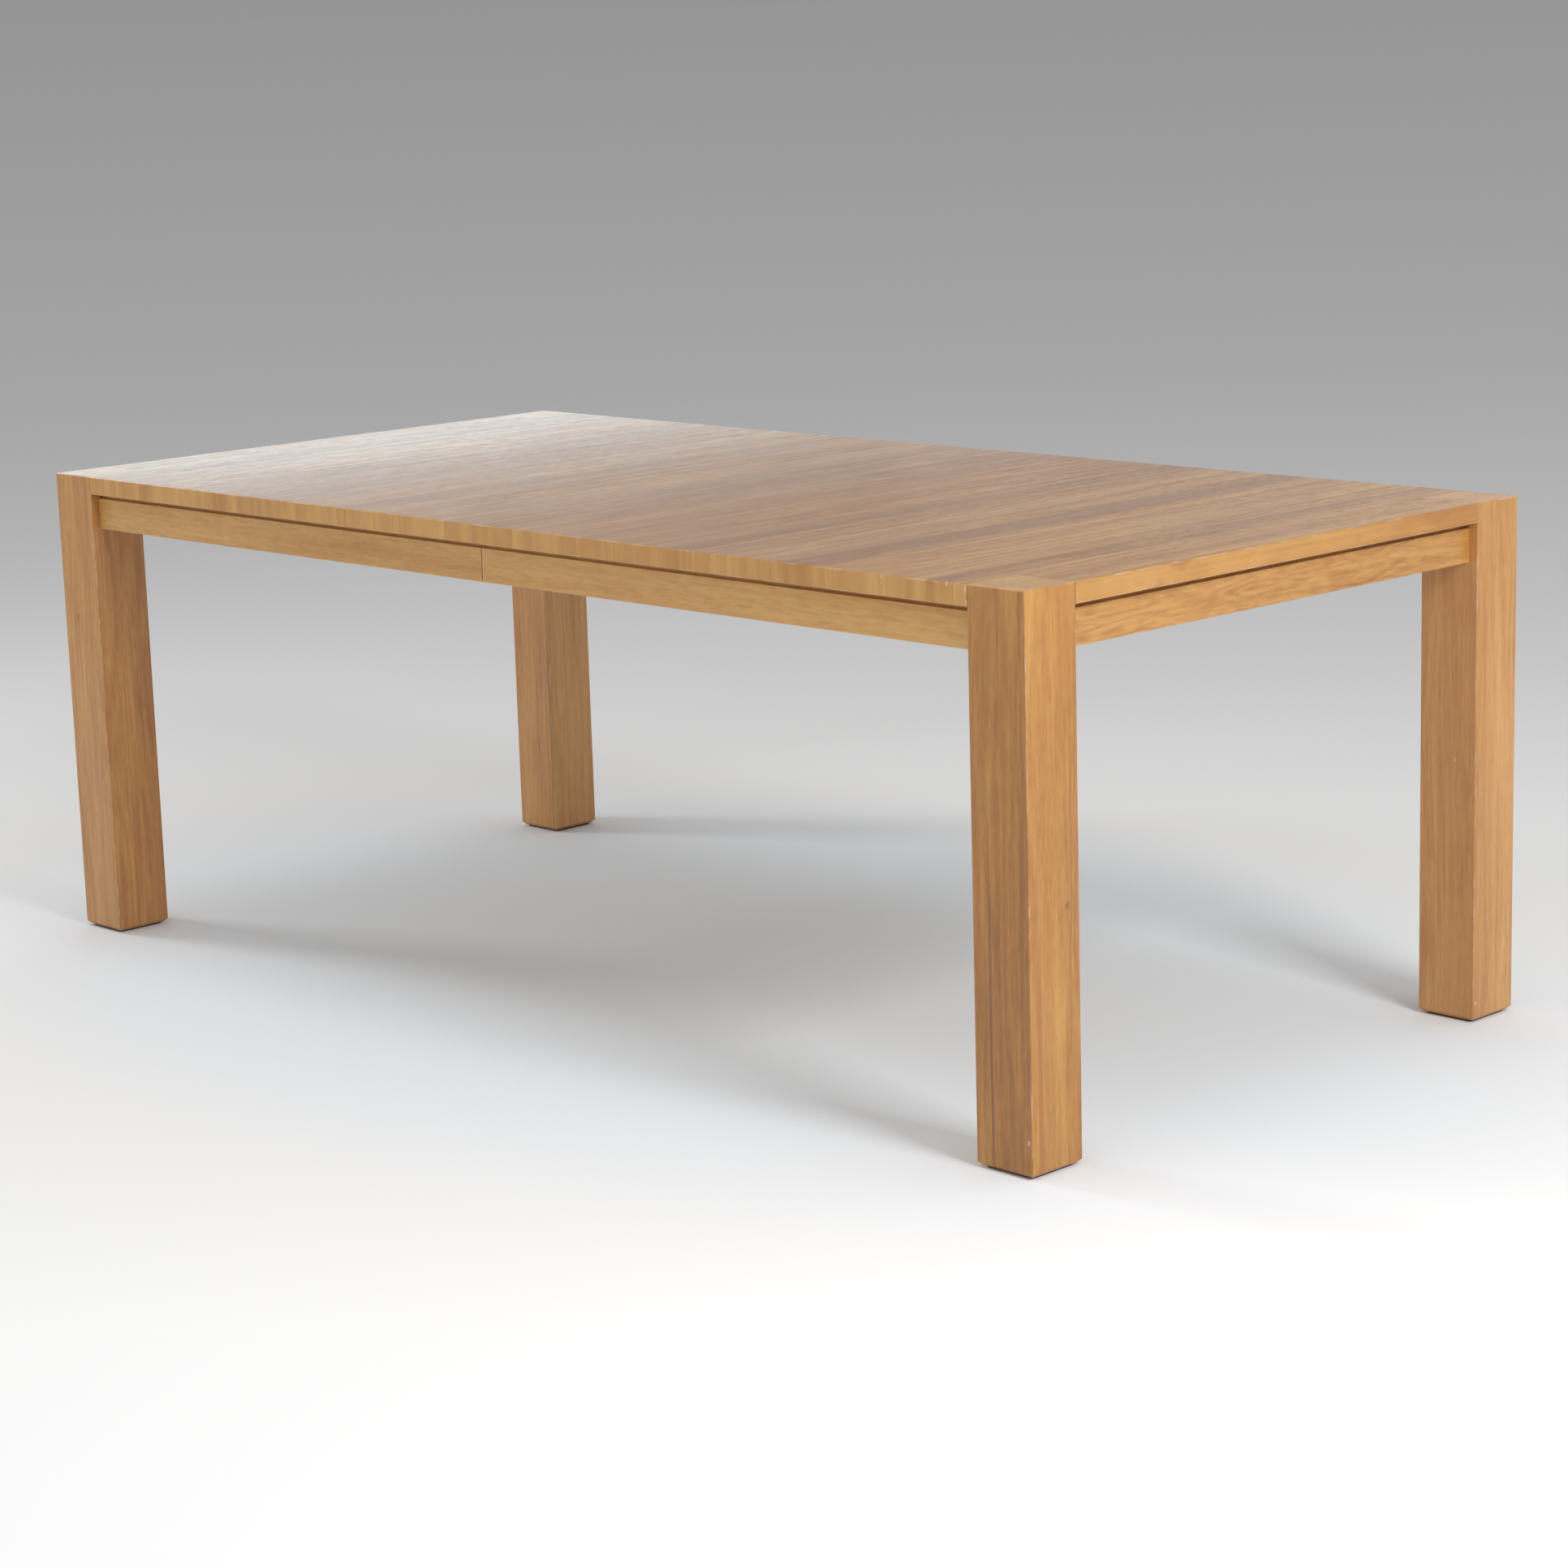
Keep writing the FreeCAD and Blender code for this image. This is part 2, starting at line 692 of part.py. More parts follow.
# Slide rails, written in the frame of one slide unit: its origin is on the underside of the top at the seam

rail_screws = spread(
    f"(-{size.rail_length} / 2)", f"(-{size.relief_start})", size.rail_screw_margin, RAIL_SCREWS
)


def make_outer_rail(half, turn, side):
    rail = new_body("rail_" + side_name(half, side))
    face = f"-{rail_face}"
    outside = f"-{rail_outside}"
    floor = f"-({size.centre_thickness} / 2 + {size.tongue_depth} + {size.dovetail_fit})"
    mouth = f"({size.tongue_root} / 2 + {size.rail_gap} * {tongue_slope} + {size.dovetail_fit})"
    wide = f"({size.tongue_tip} / 2 + {size.dovetail_fit} * {tongue_slope} + {size.dovetail_fit})"
    section = [
        (outside, f"-{rail_height}"),
        (face, f"-{rail_height}"),
        (face, f"-{size.tongue_drop} - {mouth}"),
        (floor, f"-{size.tongue_drop} - {wide}"),
        (floor, f"{wide} - {size.tongue_drop}"),
        (face, f"{mouth} - {size.tongue_drop}"),
        (face, "0"),
        (outside, "0"),
    ]
    pad(rail, polygon(sketch_on(rail, "YZ_Plane", f"-{size.rail_length} / 2"), section), size.rail_length)
    fit = size.wood_fit
    low = (f"-{rack_start} - {fit}", f"-{gear_bottom} - {fit}")
    high = (f"{rack_teeth} * {gear_pitch} - {rack_start} + {fit}", f"{fit} - {gear_top}")
    groove = rectangle(sketch_on(rail, "XZ_Plane", rail_face), low, high)
    pocket(rail, groove, f"{rack_back} - {rail_face}", True)
    low = (f"-{size.relief_start}", f"{outside} - {size.overrun}")
    high = (f"{size.rail_length} / 2 + {size.overrun}", f"{face} + {size.overrun}")
    pocket(rail, rectangle(sketch_on(rail, "XY_Plane"), low, high), size.rail_relief)
    screws = [(place, f"-{rail_screw_line}") for place in rail_screws]
    pocket(rail, circles(sketch_on(rail, "XY_Plane"), screws, screw_hole), rail_height)
    heads = circles(sketch_on(rail, "XY_Plane", f"-{size.cleat_side}"), screws, screw_head_hole)
    pocket(rail, heads, rail_height)
    stop = [(stop_place, f"-{stop_line}")]
    hole = f"{size.stop_diameter} / 2 + {size.wood_fit}"
    bottom = sketch_on(rail, "XY_Plane", f"-{rail_height}")
    pocket(rail, circles(bottom, stop, hole), f"{stop_length} + {size.hole_slack}", True)
    settle(rail, turn, y=f"{side} * {rail_offset}", z=under)
    return keep(rail)


def make_rack(half, turn, side):
    rack = new_body("rack_" + side_name(half, side))
    floor = f"-{gear_bottom}"
    low = (f"-{rack_start}", f"-{rack_back}")
    high = (f"{rack_teeth} * {gear_pitch} - {rack_start}", f"-{rack_root}")
    pad(rack, rectangle(sketch_on(rack, "XY_Plane", floor), low, high), size.gear_face)
    lean = math.tan(PRESSURE_ANGLE)
    middle = f"({gear_pitch} / 2 - {rack_start})"
    half_tooth = f"({gear_pitch} / 4 - {size.gear_backlash} / 4)"
    root = f"({half_tooth} + {DEDENDUM_SHARE} * {size.gear_module} * {lean:.6f})"
    tip = f"({half_tooth} - {size.gear_module} * {lean:.6f})"
    crest = f"{size.gear_module} - {gear_radius}"
    tooth = [
        (f"{middle} - {root}", f"-{rack_root}"),
        (f"{middle} + {root}", f"-{rack_root}"),
        (f"{middle} + {tip}", crest),
        (f"{middle} - {tip}", crest),
    ]
    sketch = polygon(sketch_on(rack, "XY_Plane", floor), tooth)
    feature = pad(rack, sketch, size.gear_face)
    doc.recompute()
    pattern = rack.newObject("PartDesign::LinearPattern", rack.Label + "_teeth")
    pattern.Originals = [feature]
    pattern.Direction = (sketch, ["H_Axis"])
    pattern.setExpression("Length", f"({rack_teeth} - 1) * {gear_pitch}")
    pattern.setExpression("Occurrences", rack_teeth)
    rack.Tip = pattern
    settle(rack, turn, y=f"{side} * {rail_offset}", z=under)
    return keep(rack)


def make_centre_rail(side):
    name = "front" if side == FRONT else "back"
    rail = new_body("centre_rail_" + name)
    edge = f"({size.centre_thickness} / 2)"
    start = f"-{size.rail_length} / 2"
    core = sketch_on(rail, "YZ_Plane", start)
    rectangle(core, (f"-{edge}", f"-{rail_height}"), (edge, f"-{size.rail_relief}"))
    pad(rail, core, size.rail_length)
    root, tip = f"{size.tongue_root} / 2", f"{size.tongue_tip} / 2"
    drop = size.tongue_drop
    for sign, begin in ((-1, f"-{tongue_start}"), (1, f"-{tongue_end}")):
        inner, outer = f"{sign} * {edge}", f"{sign} * ({edge} + {size.tongue_depth})"
        tongue = [
            (inner, f"-{drop} - {root}"),
            (outer, f"-{drop} - {tip}"),
            (outer, f"{tip} - {drop}"),
            (inner, f"{root} - {drop}"),
        ]
        pad(rail, polygon(sketch_on(rail, "YZ_Plane", begin), tongue), f"{tongue_start} + {tongue_end}")
    reach = f"({gear_outside} + {size.slot_gap})"
    low = (f"-{reach}", f"-{gear_bottom} - {size.slot_play}")
    high = (reach, f"{size.slot_play} - {gear_top}")
    beyond = f"({edge} + {size.overrun})"
    pocket(rail, rectangle(sketch_on(rail, "XZ_Plane", beyond), low, high), f"2 * {beyond}")
    hole = f"{size.axle_diameter} / 2 + {size.axle_fit}"
    bottom = sketch_on(rail, "XY_Plane", f"-{rail_height}")
    pocket(rail, circles(bottom, [("0", "0")], hole), f"{axle_length} + {size.hole_slack}", True)
    settle(rail, 0, y=f"{side} * {rail_offset}", z=under)
    keep(rail)
    axle = make_round_pin("pinion_axle_" + name, size.axle_diameter, axle_length)
    settle(axle, 0, y=f"{side} * {rail_offset}", z=f"{under} - {rail_height}")
    keep(axle)


def involute(angle):
    return math.tan(angle) - angle


# One flank as radius and half angle from the tooth's middle, from root to tip
def pinion_flank():
    pitch, module = number(gear_radius), number(size.gear_module)
    base = pitch * math.cos(PRESSURE_ANGLE)
    tip = pitch + module
    half_tooth = (math.pi * module / 4 - number(size.gear_backlash) / 4) / pitch
    at_base = half_tooth + involute(PRESSURE_ANGLE)
    flank = [(pitch - DEDENDUM_SHARE * module, at_base)]
    for step in range(FLANK_STEPS + 1):
        radius = base + (tip - base) * step / FLANK_STEPS
        flank.append((radius, at_base - involute(math.acos(base / radius))))
    return flank


def make_pinion(side):
    label = "pinion_" + ("front" if side == FRONT else "back")
    flank = pinion_flank()
    points = []
    for tooth in range(PINION_TEETH):
        middle = math.pi / 2 + 2 * math.pi * tooth / PINION_TEETH
        ahead = [(radius, middle - half) for radius, half in flank]
        behind = [(radius, middle + half) for radius, half in reversed(flank)]
        points += [
            FreeCAD.Vector(radius * math.cos(angle), radius * math.sin(angle), 0)
            for radius, angle in ahead + behind
        ]
    profile = Part.Face(Part.makePolygon(points + points[:1]))
    face = number(size.gear_face)
    bore = number(size.axle_diameter) / 2 + number(size.axle_fit)
    pinion = doc.addObject("Part::Feature", label)
    pinion.Label = label
    pinion.Shape = profile.extrude(UP * face).cut(Part.makeCylinder(bore, face))
    settle(pinion, 0, y=f"{side} * {rail_offset}", z=f"{under} - {gear_bottom}")
    return keep(pinion)


# Locks, written in the frame of one lock: its origin is on the underside of the top at the seam

lock_pivot = (f"-{size.lock_setback}", "0")
lock_screws = [
    (f"-{size.lock_setback} - {sign} * {lever_screw_line}", f"{sign} * {lever_screw_line}")
    for sign in (-1, 1)
]
keeper_reach = f"({size.keeper_setback} - {size.keeper_margin})"
keeper_screw_spread = f"({keeper_reach} - {size.keeper_screw_margin})"
keeper_screws = [
    (f"{size.keeper_setback} + {sign} * {keeper_screw_spread}", f"-{lever_screw_line}")
    for sign in (-1, 1)
]


def make_lock_plate(half, turn):
    plate = new_body("lock_plate_" + ("front" if half == "left" else "back"))
    reach = f"({lever_screw_line} + {size.lock_plate_margin})"
    low = (f"-{size.lock_setback} - {reach}", f"-{reach}")
    high = (f"{reach} - {size.lock_setback}", reach)
    pad(plate, rectangle(sketch_on(plate, "XY_Plane"), low, high), size.plate_thickness, True)
    soften(plate, "Fillet", size.lock_plate_round, upright)
    hole = f"{size.pivot_diameter} / 2 + {size.wood_fit}"
    pocket(plate, circles(sketch_on(plate, "XY_Plane"), [lock_pivot], hole), size.plate_thickness)
    screws = circles(sketch_on(plate, "XY_Plane"), lock_screws, plate_screw_hole)
    pocket(plate, screws, size.plate_thickness)
    settle(plate, turn, y=f"-{lock_offset}", z=under)
    return keep(plate)


def make_lock_pivot(half, turn):
    shank, head = f"{size.pivot_diameter} / 2", f"{size.pivot_head_diameter} / 2"
    shoulder = f"-({lever_bottom} + {size.lever_gap})"
    end = f"{shoulder} - {size.pivot_head_height}"
    profile = [("0", end), (head, end), (head, shoulder), (shank, shoulder), (shank, "0"), ("0", "0")]
    pivot = turned_piece("lock_pivot_" + ("front" if half == "left" else "back"), profile)
    settle(pivot, turn, x=f"-{size.lock_setback}", y=f"-{lock_offset}", z=under)
    return keep(pivot)


# The lever lies across the table when open, and turns a quarter so that its jaw takes the keeper's pin
def make_lock_lever(half, turn):
    lever = new_body("lock_lever_" + ("front" if half == "left" else "back"))
    edge = f"({size.lever_width} / 2)"
    nose = f"({lock_reach} + {size.lever_nose})"
    top = f"-{lever_top}"
    outline = sketch_on(lever, "XY_Plane", top)
    rectangle(outline, (f"-{edge}", f"-{size.lever_tail}"), (edge, nose))
    pad(lever, outline, size.lever_thickness, True)
    soften(lever, "Fillet", size.lever_corner_round, upright)
    lip_low = (f"{size.lever_corner_round} - {edge}", f"-{size.lever_tail}")
    lip_high = (f"{edge} - {size.lever_corner_round}", f"{size.lever_thickness} - {size.lever_tail}")
    lip = rectangle(sketch_on(lever, "XY_Plane", top), lip_low, lip_high)
    pad(lever, lip, f"{size.lever_thickness} + {size.lever_lip}", True)
    hole = f"{size.pivot_diameter} / 2 + {size.pivot_fit}"
    pocket(lever, circles(sketch_on(lever, "XY_Plane", top), [("0", "0")], hole), size.lever_thickness)
    jaw = f"({size.keeper_pin_diameter} / 2 + {size.jaw_fit})"
    seat = circles(sketch_on(lever, "XY_Plane", top), [("0", lock_reach)], jaw)
    pocket(lever, seat, size.lever_thickness)
    low = (f"{lock_reach} - {jaw}", f"-{lever_bottom} - {size.overrun}")
    high = (f"{lock_reach} + {jaw}", f"{size.overrun} - {lever_top}")
    section = rectangle(sketch_on(lever, "YZ_Plane"), low, high)
    doc.recompute()
    groove = lever.newObject("PartDesign::Groove", lever.Label + "_jaw")
    groove.Profile = section
    groove.ReferenceAxis = (section, ["V_Axis"])
    groove.Angle = JAW_SWEEP
    groove.Reversed = True
    settle(lever, turn, x=f"-{size.lock_setback}", y=f"-{lock_offset}", z=under)
    return keep(lever)


# The half's keeper serves the other half's lever
def make_lock_keeper(half, turn):
    keeper = new_body("lock_keeper_" + ("back" if half == "left" else "front"))
    low = (size.keeper_margin, f"-{lever_screw_line} - {size.lock_plate_margin}")
    high = (f"{size.keeper_setback} + {keeper_reach}", size.keeper_front)
    pad(keeper, rectangle(sketch_on(keeper, "XY_Plane"), low, high), size.plate_thickness, True)
    soften(keeper, "Fillet", size.lock_plate_round, upright)
    pin = sketch_on(keeper, "XY_Plane")
    circles(pin, [(size.keeper_setback, "0")], f"{size.keeper_pin_diameter} / 2")
    pad(keeper, pin, f"{lever_bottom} + {size.keeper_pin_tail}", True)
    screws = circles(sketch_on(keeper, "XY_Plane"), keeper_screws, plate_screw_hole)
    pocket(keeper, screws, size.plate_thickness)
    settle(keeper, turn, y=lock_offset, z=under, own_turn=180)
    return keep(keeper)


# Places of the fasteners in the left half

def top_screw_holes():
    holes = []
    for side in (FRONT, BACK):
        holes += [(place, f"{side} * ({half_width} - {cleat_middle})") for place in long_cleat_screws]
        holes += [(place, f"{side} * {rail_offset} - {rail_screw_line}") for place in rail_screws]
    holes += [(f"{cleat_middle} - {half_length}", place) for place in end_cleat_screws]
    return holes


def wood_screw_places():
    places = [(x, y, cleat_height, FreeCAD.Rotation()) for x, y in top_screw_holes()]
    for side in (FRONT, BACK):
        into_side, into_end = towards(0, side, 0), towards(-1, 0, 0)
        for along, across, direction in (
            (block_screw_place, block_screw_seat, into_side),
            (block_screw_seat, block_screw_place, into_end),
        ):
            x, y = f"{along} - {half_length}", f"{side} * ({half_width} - {across})"
            places.append((x, y, block_middle, direction))
    return places


# The lever's plate is at the front of the left half, the keeper at its back, turned half round
def plate_screw_holes():
    holes = [(x, f"{y} - {lock_offset}") for x, y in lock_screws]
    holes += [(f"-({x})", f"{lock_offset} - ({y})") for x, y in keeper_screws]
    return holes


def dowel_places():
    places = []
    back = f"{size.leg_side} - {size.dowel_length} / 2"
    for side in (FRONT, BACK):
        for height in dowel_heights:
            along = f"{side} * ({half_width} - {apron_middle})"
            places.append((f"{back} - {half_length}", along, height, towards(1, 0, 0)))
            across = f"{side} * ({half_width} - ({back}))"
            places.append((f"{apron_middle} - {half_length}", across, height, towards(0, -side, 0)))
    return places


def bolt_places(offset):
    places = []
    place = f"({bolt_start} + {offset} / sqrt(2))"
    for side in (FRONT, BACK):
        for height in bolt_heights:
            x, y = f"{place} - {half_length}", f"{side} * ({half_width} - {place})"
            places.append((x, y, height, towards(1, -side, 0)))
    return places


def seam_pin_places():
    start = f"-{size.seam_pin_length} / 2"
    along = towards(1, 0, 0)
    places = [(start, line, seam_pin_height, along) for line in seam_pin_lines]
    for side in (FRONT, BACK):
        places.append((start, f"{side} * ({half_width} - {apron_middle})", apron_heart, along))
    return places


# The table

foot_pad = make_foot_pad()
wood_screw = make_screw(
    "wood_screw",
    size.screw_diameter,
    screw_length,
    size.screw_point,
    size.screw_head_diameter,
    size.screw_head_height,
)
plate_screw = make_screw(
    "plate_screw",
    size.plate_screw_diameter,
    size.plate_screw_length,
    size.plate_screw_point,
    size.plate_screw_head_diameter,
    size.plate_screw_head_height,
)
dowel = make_round_pin("dowel", size.dowel_diameter, size.dowel_length)
seam_pin = make_seam_pin()
stop_pin = make_round_pin("stop_pin", size.stop_diameter, stop_length)
hanger_bolt = make_hanger_bolt()
flange_nut = make_flange_nut()

for half, turn in HALVES:
    make_top(half, turn, top_screw_holes(), plate_screw_holes())
    for side in (FRONT, BACK):
        make_leg(half, turn, side)
        make_long_apron(half, turn, side)
        make_long_cleat(half, turn, side)
        make_corner_block(half, turn, side)
        make_outer_rail(half, turn, side)
        make_rack(half, turn, side)
    make_end_apron(half, turn)
    make_end_cleat(half, turn)
    make_lock_plate(half, turn)
    make_lock_pivot(half, turn)
    make_lock_lever(half, turn)
    make_lock_keeper(half, turn)
    feet = []
    for side in (FRONT, BACK):
        feet.append((*corner_place(side, "0", "0"), "0", FreeCAD.Rotation(UP, corner_turn(side))))
    group("foot_pads_" + half, turn, foot_pad, feet)
    group("wood_screws_" + half, turn, wood_screw, wood_screw_places())
    group("dowels_" + half, turn, dowel, dowel_places())
    group("hanger_bolts_" + half, turn, hanger_bolt, bolt_places("0"))
    group("flange_nuts_" + half, turn, flange_nut, bolt_places(size.block_thickness))
    stops = [
        (stop_place, f"{side} * {rail_offset} - {stop_line}", f"{under} - {rail_height}")
        for side in (FRONT, BACK)
    ]
    group("stop_pins_" + half, turn, stop_pin, [(*stop, FreeCAD.Rotation()) for stop in stops])
    seat = f"{under} - {size.plate_thickness}"
    small = [(x, y, seat, FreeCAD.Rotation()) for x, y in plate_screw_holes()]
    group("plate_screws_" + half, turn, plate_screw, small)

group("seam_pins", 0, seam_pin, seam_pin_places())
for side in (FRONT, BACK):
    make_centre_rail(side)
    make_pinion(side)

doc.recompute()

# Nothing is written unless every object is sound
for item in doc.Objects:
    if "Invalid" in item.State or "Error" in item.State:
        raise RuntimeError(f"{item.Label} failed: {item.State}")
for node in nodes:
    if node.Shape.isNull() or not node.Shape.isValid() or not node.Shape.Solids:
        raise RuntimeError(f"{node.Label} has no sound solid")

os.makedirs("parts", exist_ok=True)
for node in nodes:
    node.Shape.exportStep(f"parts/{node.Label}.step")
print(f"{len(nodes)} parts written")
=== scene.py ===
import math

import bmesh
import bpy
from mathutils import Matrix, Vector


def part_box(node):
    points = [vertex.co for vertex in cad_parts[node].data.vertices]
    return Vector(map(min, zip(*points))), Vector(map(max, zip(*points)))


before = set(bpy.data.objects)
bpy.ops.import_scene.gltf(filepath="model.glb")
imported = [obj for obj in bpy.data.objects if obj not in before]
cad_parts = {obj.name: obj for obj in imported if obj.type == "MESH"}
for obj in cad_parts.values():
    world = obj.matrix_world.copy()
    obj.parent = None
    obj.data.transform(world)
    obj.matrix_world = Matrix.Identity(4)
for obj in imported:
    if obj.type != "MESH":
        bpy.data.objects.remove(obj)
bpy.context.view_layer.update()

print("frame loaded:", len(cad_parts), "nodes")


# Shader sums written as plain expressions
class Wire:
    def __init__(self, finish, socket):
        self.finish = finish
        self.socket = socket

    def work(self, operation, *values):
        return self.finish.add("ShaderNodeMath", {"operation": operation}, dict(enumerate(values)))

    def __add__(self, other):
        return self.work("ADD", self, other)

    def __radd__(self, other):
        return self.work("ADD", other, self)

    def __sub__(self, other):
        return self.work("SUBTRACT", self, other)

    def __rsub__(self, other):
        return self.work("SUBTRACT", other, self)

    def __mul__(self, other):
        return self.work("MULTIPLY", self, other)

    def __rmul__(self, other):
        return self.work("MULTIPLY", other, self)

    def __truediv__(self, other):
        return self.work("DIVIDE", self, other)

    def __rtruediv__(self, other):
        return self.work("DIVIDE", other, self)

    def __pow__(self, other):
        return self.work("POWER", self, other)

    def __abs__(self):
        return self.work("ABSOLUTE", self)

    def least(self, other):
        return self.work("MINIMUM", self, other)

    def most(self, other):
        return self.work("MAXIMUM", self, other)

    def wave(self):
        return self.work("SINE", self)

    def rise(self, low, high):
        # 0 below low, 1 above high, smooth between them
        sockets = {"Value": self, "From Min": low, "From Max": high}
        return self.finish.add("ShaderNodeMapRange", {"interpolation_type": "SMOOTHSTEP"}, sockets)


class Finish:
    def __init__(self, owner):
        owner.use_nodes = True
        self.material = owner
        self.tree = owner.node_tree
        self.tree.nodes.clear()

    def add(self, kind, settings=None, sockets=None, out=0):
        node = self.tree.nodes.new(kind)
        for name, value in (settings or {}).items():
            if name == "stops":
                while len(node.color_ramp.elements) < len(value):
                    node.color_ramp.elements.new(1.0)
                for element, (position, colour) in zip(node.color_ramp.elements, value):
                    element.position = position
                    element.color = (*colour, 1.0)
            elif name == "steps":
                node.color_ramp.interpolation = value
            else:
                setattr(node, name, value)
        for name, value in (sockets or {}).items():
            if isinstance(value, Wire):
                self.tree.links.new(value.socket, node.inputs[name])
            else:
                node.inputs[name].default_value = value
        return Wire(self, node.outputs[out]) if node.outputs else None

    def place(self, turn=0.0):
        point = self.add("ShaderNodeTexCoord", out="Object")
        if turn:
            point = self.add("ShaderNodeMapping", {}, {"Vector": point, "Rotation": (0.0, 0.0, turn)})
        return [self.add("ShaderNodeSeparateXYZ", {}, {0: point}, axis) for axis in "XYZ"]

    def noise(self, x, y, z, detail=2.0, roughness=0.5):
        point = self.add("ShaderNodeCombineXYZ", {}, {0: x, 1: y, 2: z})
        sockets = {"Vector": point, "Scale": 1.0, "Detail": detail, "Roughness": roughness}
        return self.add("ShaderNodeTexNoise", {}, sockets)

    def speckle(self, scales, detail):
        x, y, z = (axis * scale for axis, scale in zip(self.place(), scales))
        return self.noise(x, y, z, detail)

    def mix(self, factor, first, second, way="MIX"):
        first = first if isinstance(first, Wire) else (*first, 1.0)
        second = second if isinstance(second, Wire) else (*second, 1.0)
        settings = {"data_type": "RGBA", "blend_type": way}
        return self.add("ShaderNodeMix", settings, {0: factor, 6: first, 7: second}, 2)

    def ramp(self, factor, stops, steps="LINEAR"):
        return self.add("ShaderNodeValToRGB", {"stops": stops, "steps": steps}, {0: factor})

    def bump(self, height, distance, strength):
        sockets = {"Height": height, "Distance": distance, "Strength": strength}
        return self.add("ShaderNodeBump", {}, sockets)

    def close(self, sockets):
        shader = self.add("ShaderNodeBsdfPrincipled", {}, sockets)
        self.add("ShaderNodeOutputMaterial", {}, {"Surface": shader})
        return self.material


def newFinish(name):
    return Finish(bpy.data.materials.new(name))


def grey(stops):
    return [(position, (shade, shade, shade)) for position, shade in stops]


def dress(node, material):
    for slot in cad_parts[node].material_slots:
        slot.material = material


# Camera, at the photograph's angle
camera = {
    "place": (4.0967, -3.9043, 1.4916),
    "turn": -45.787,  # degrees, as are the next two
    "down": 11.982,
    "roll": -1.688,
    "lens": 84.73,
    "sensor": 36.0,
    "farthest": 3000.0,
}


def setCamera():
    turn = math.radians(camera["turn"])
    down = math.radians(camera["down"])
    roll = math.radians(camera["roll"])
    forward = Vector((math.sin(turn) * math.cos(down), math.cos(turn) * math.cos(down), -math.sin(down)))
    level = Vector((math.cos(turn), -math.sin(turn), 0.0))
    upright = level.cross(forward)
    right = level * math.cos(roll) + upright * math.sin(roll)
    up = upright * math.cos(roll) - level * math.sin(roll)
    data = bpy.data.cameras.new("camera")
    data.sensor_width = camera["sensor"]
    data.lens = camera["lens"]
    data.clip_end = camera["farthest"]
    eye = bpy.data.objects.new("camera", data)
    bpy.context.collection.objects.link(eye)
    axes = Matrix((right, up, -forward)).transposed().to_4x4()
    eye.matrix_world = Matrix.Translation(camera["place"]) @ axes
    bpy.context.scene.camera = eye


setCamera()
bpy.context.scene.view_settings.view_transform = "Standard"
print("camera set")


# Floor: white in front, falling to grey behind as a painted light falloff, and a painted cool cast under the
# table that cancels the warm light bounced off the wood
floor = {
    "half": 1500.0,
    "foot": (4.0967, -3.9043),  # the fade starts near here
    "away": (-0.7168, 0.6973),  # and goes this way
    "near": 0.245,
    "stops": ((0.0, 0.443), (0.28, 0.55), (0.62, 0.80), (1.0, 1.0)),
    "cool": (0.93, 0.985, 1.04),
    "coolReach": (1.5, 1.0),
    "coolFade": (0.3, 1.4),
    "mottle": (0.7, 0.7, 0.7),
    "mottleScale": 3.0,
    "mottleDetail": 4.0,
    "mottleWeight": 0.02,
    "roughness": 0.9,
}


def layFloor():
    mesh = bpy.data.meshes.new("floor")
    shape = bmesh.new()
    bmesh.ops.create_grid(shape, x_segments=1, y_segments=1, size=floor["half"])
    shape.to_mesh(mesh)
    shape.free()
    sheet = bpy.data.objects.new("floor", mesh)
    bpy.context.collection.objects.link(sheet)

    paper = newFinish("floor_paper")
    x, y = paper.place()[:2]
    footX, footY = floor["foot"]
    awayX, awayY = floor["away"]
    # the white-to-grey fade is a painted light falloff
    reach = ((x - footX) * awayX + (y - footY) * awayY).most(1.0 / floor["near"])
    colour = paper.ramp(1.0 / (reach * floor["near"]), grey(floor["stops"]))
    mottle = paper.noise(x * floor["mottleScale"], y * floor["mottleScale"], 0.0, floor["mottleDetail"])
    colour = paper.mix(mottle * floor["mottleWeight"], colour, floor["mottle"])
    # painted cool cast under the table, cancelling the warm light bounced off the wood
    coolX, coolY = floor["coolReach"]
    off = (x / coolX) ** 2.0 + (y / coolY) ** 2.0
    colour = paper.mix(1.0 - off.rise(*floor["coolFade"]), colour, floor["cool"], "MULTIPLY")
    mesh.materials.append(paper.close({
        "Base Color": colour,
        "Roughness": floor["roughness"],
        "Specular IOR Level": 0.0,
    }))


layFloor()


# Studio light: soft from above, a box beyond each end, and two low panels for the sheen on the top
skySun = {"angle": 26.0, "strength": 0.25, "height": 4.0}
boxes = {
    "keyBox": {
        "place": (4.4, -0.75, 3.1), "aim": (0.5, 0.0, 0.4),
        "wide": 1.2, "tall": 1.2, "spread": 180.0, "power": 98.0,
    },
    "leftBox": {
        "place": (-3.4, -1.2, 2.3), "aim": (-0.6, 0.0, 0.2),
        "wide": 0.7, "tall": 0.7, "spread": 180.0, "power": 27.0,
    },
    "backBox": {
        "place": (0.15, 1.75, 1.00), "aim": (0.30, 0.20, 0.78),
        "wide": 2.8, "tall": 0.36, "spread": 120.0, "power": 0.42,
        "shape": "ELLIPSE",
    },
    "sheenBox": {
        "place": (-1.80, 0.75, 0.885), "aim": (-0.9, 0.55, 0.80),
        "wide": 3.4, "tall": 0.18, "spread": 120.0, "power": 1.76,
        "shape": "ELLIPSE", "tint": (0.78, 0.94, 1.0),
    },
}
room = {"ambient": 0.60, "seen": ((0.0, 0.301), (0.03, 0.305), (0.12, 0.38), (0.60, 0.38))}


def hangLamp(name, data, place, source):
    lamp = bpy.data.objects.new(name, data)
    bpy.context.collection.objects.link(lamp)
    lamp.location = place
    lamp.rotation_euler = source.to_track_quat("Z", "Y").to_euler()
    lamp.visible_camera = False


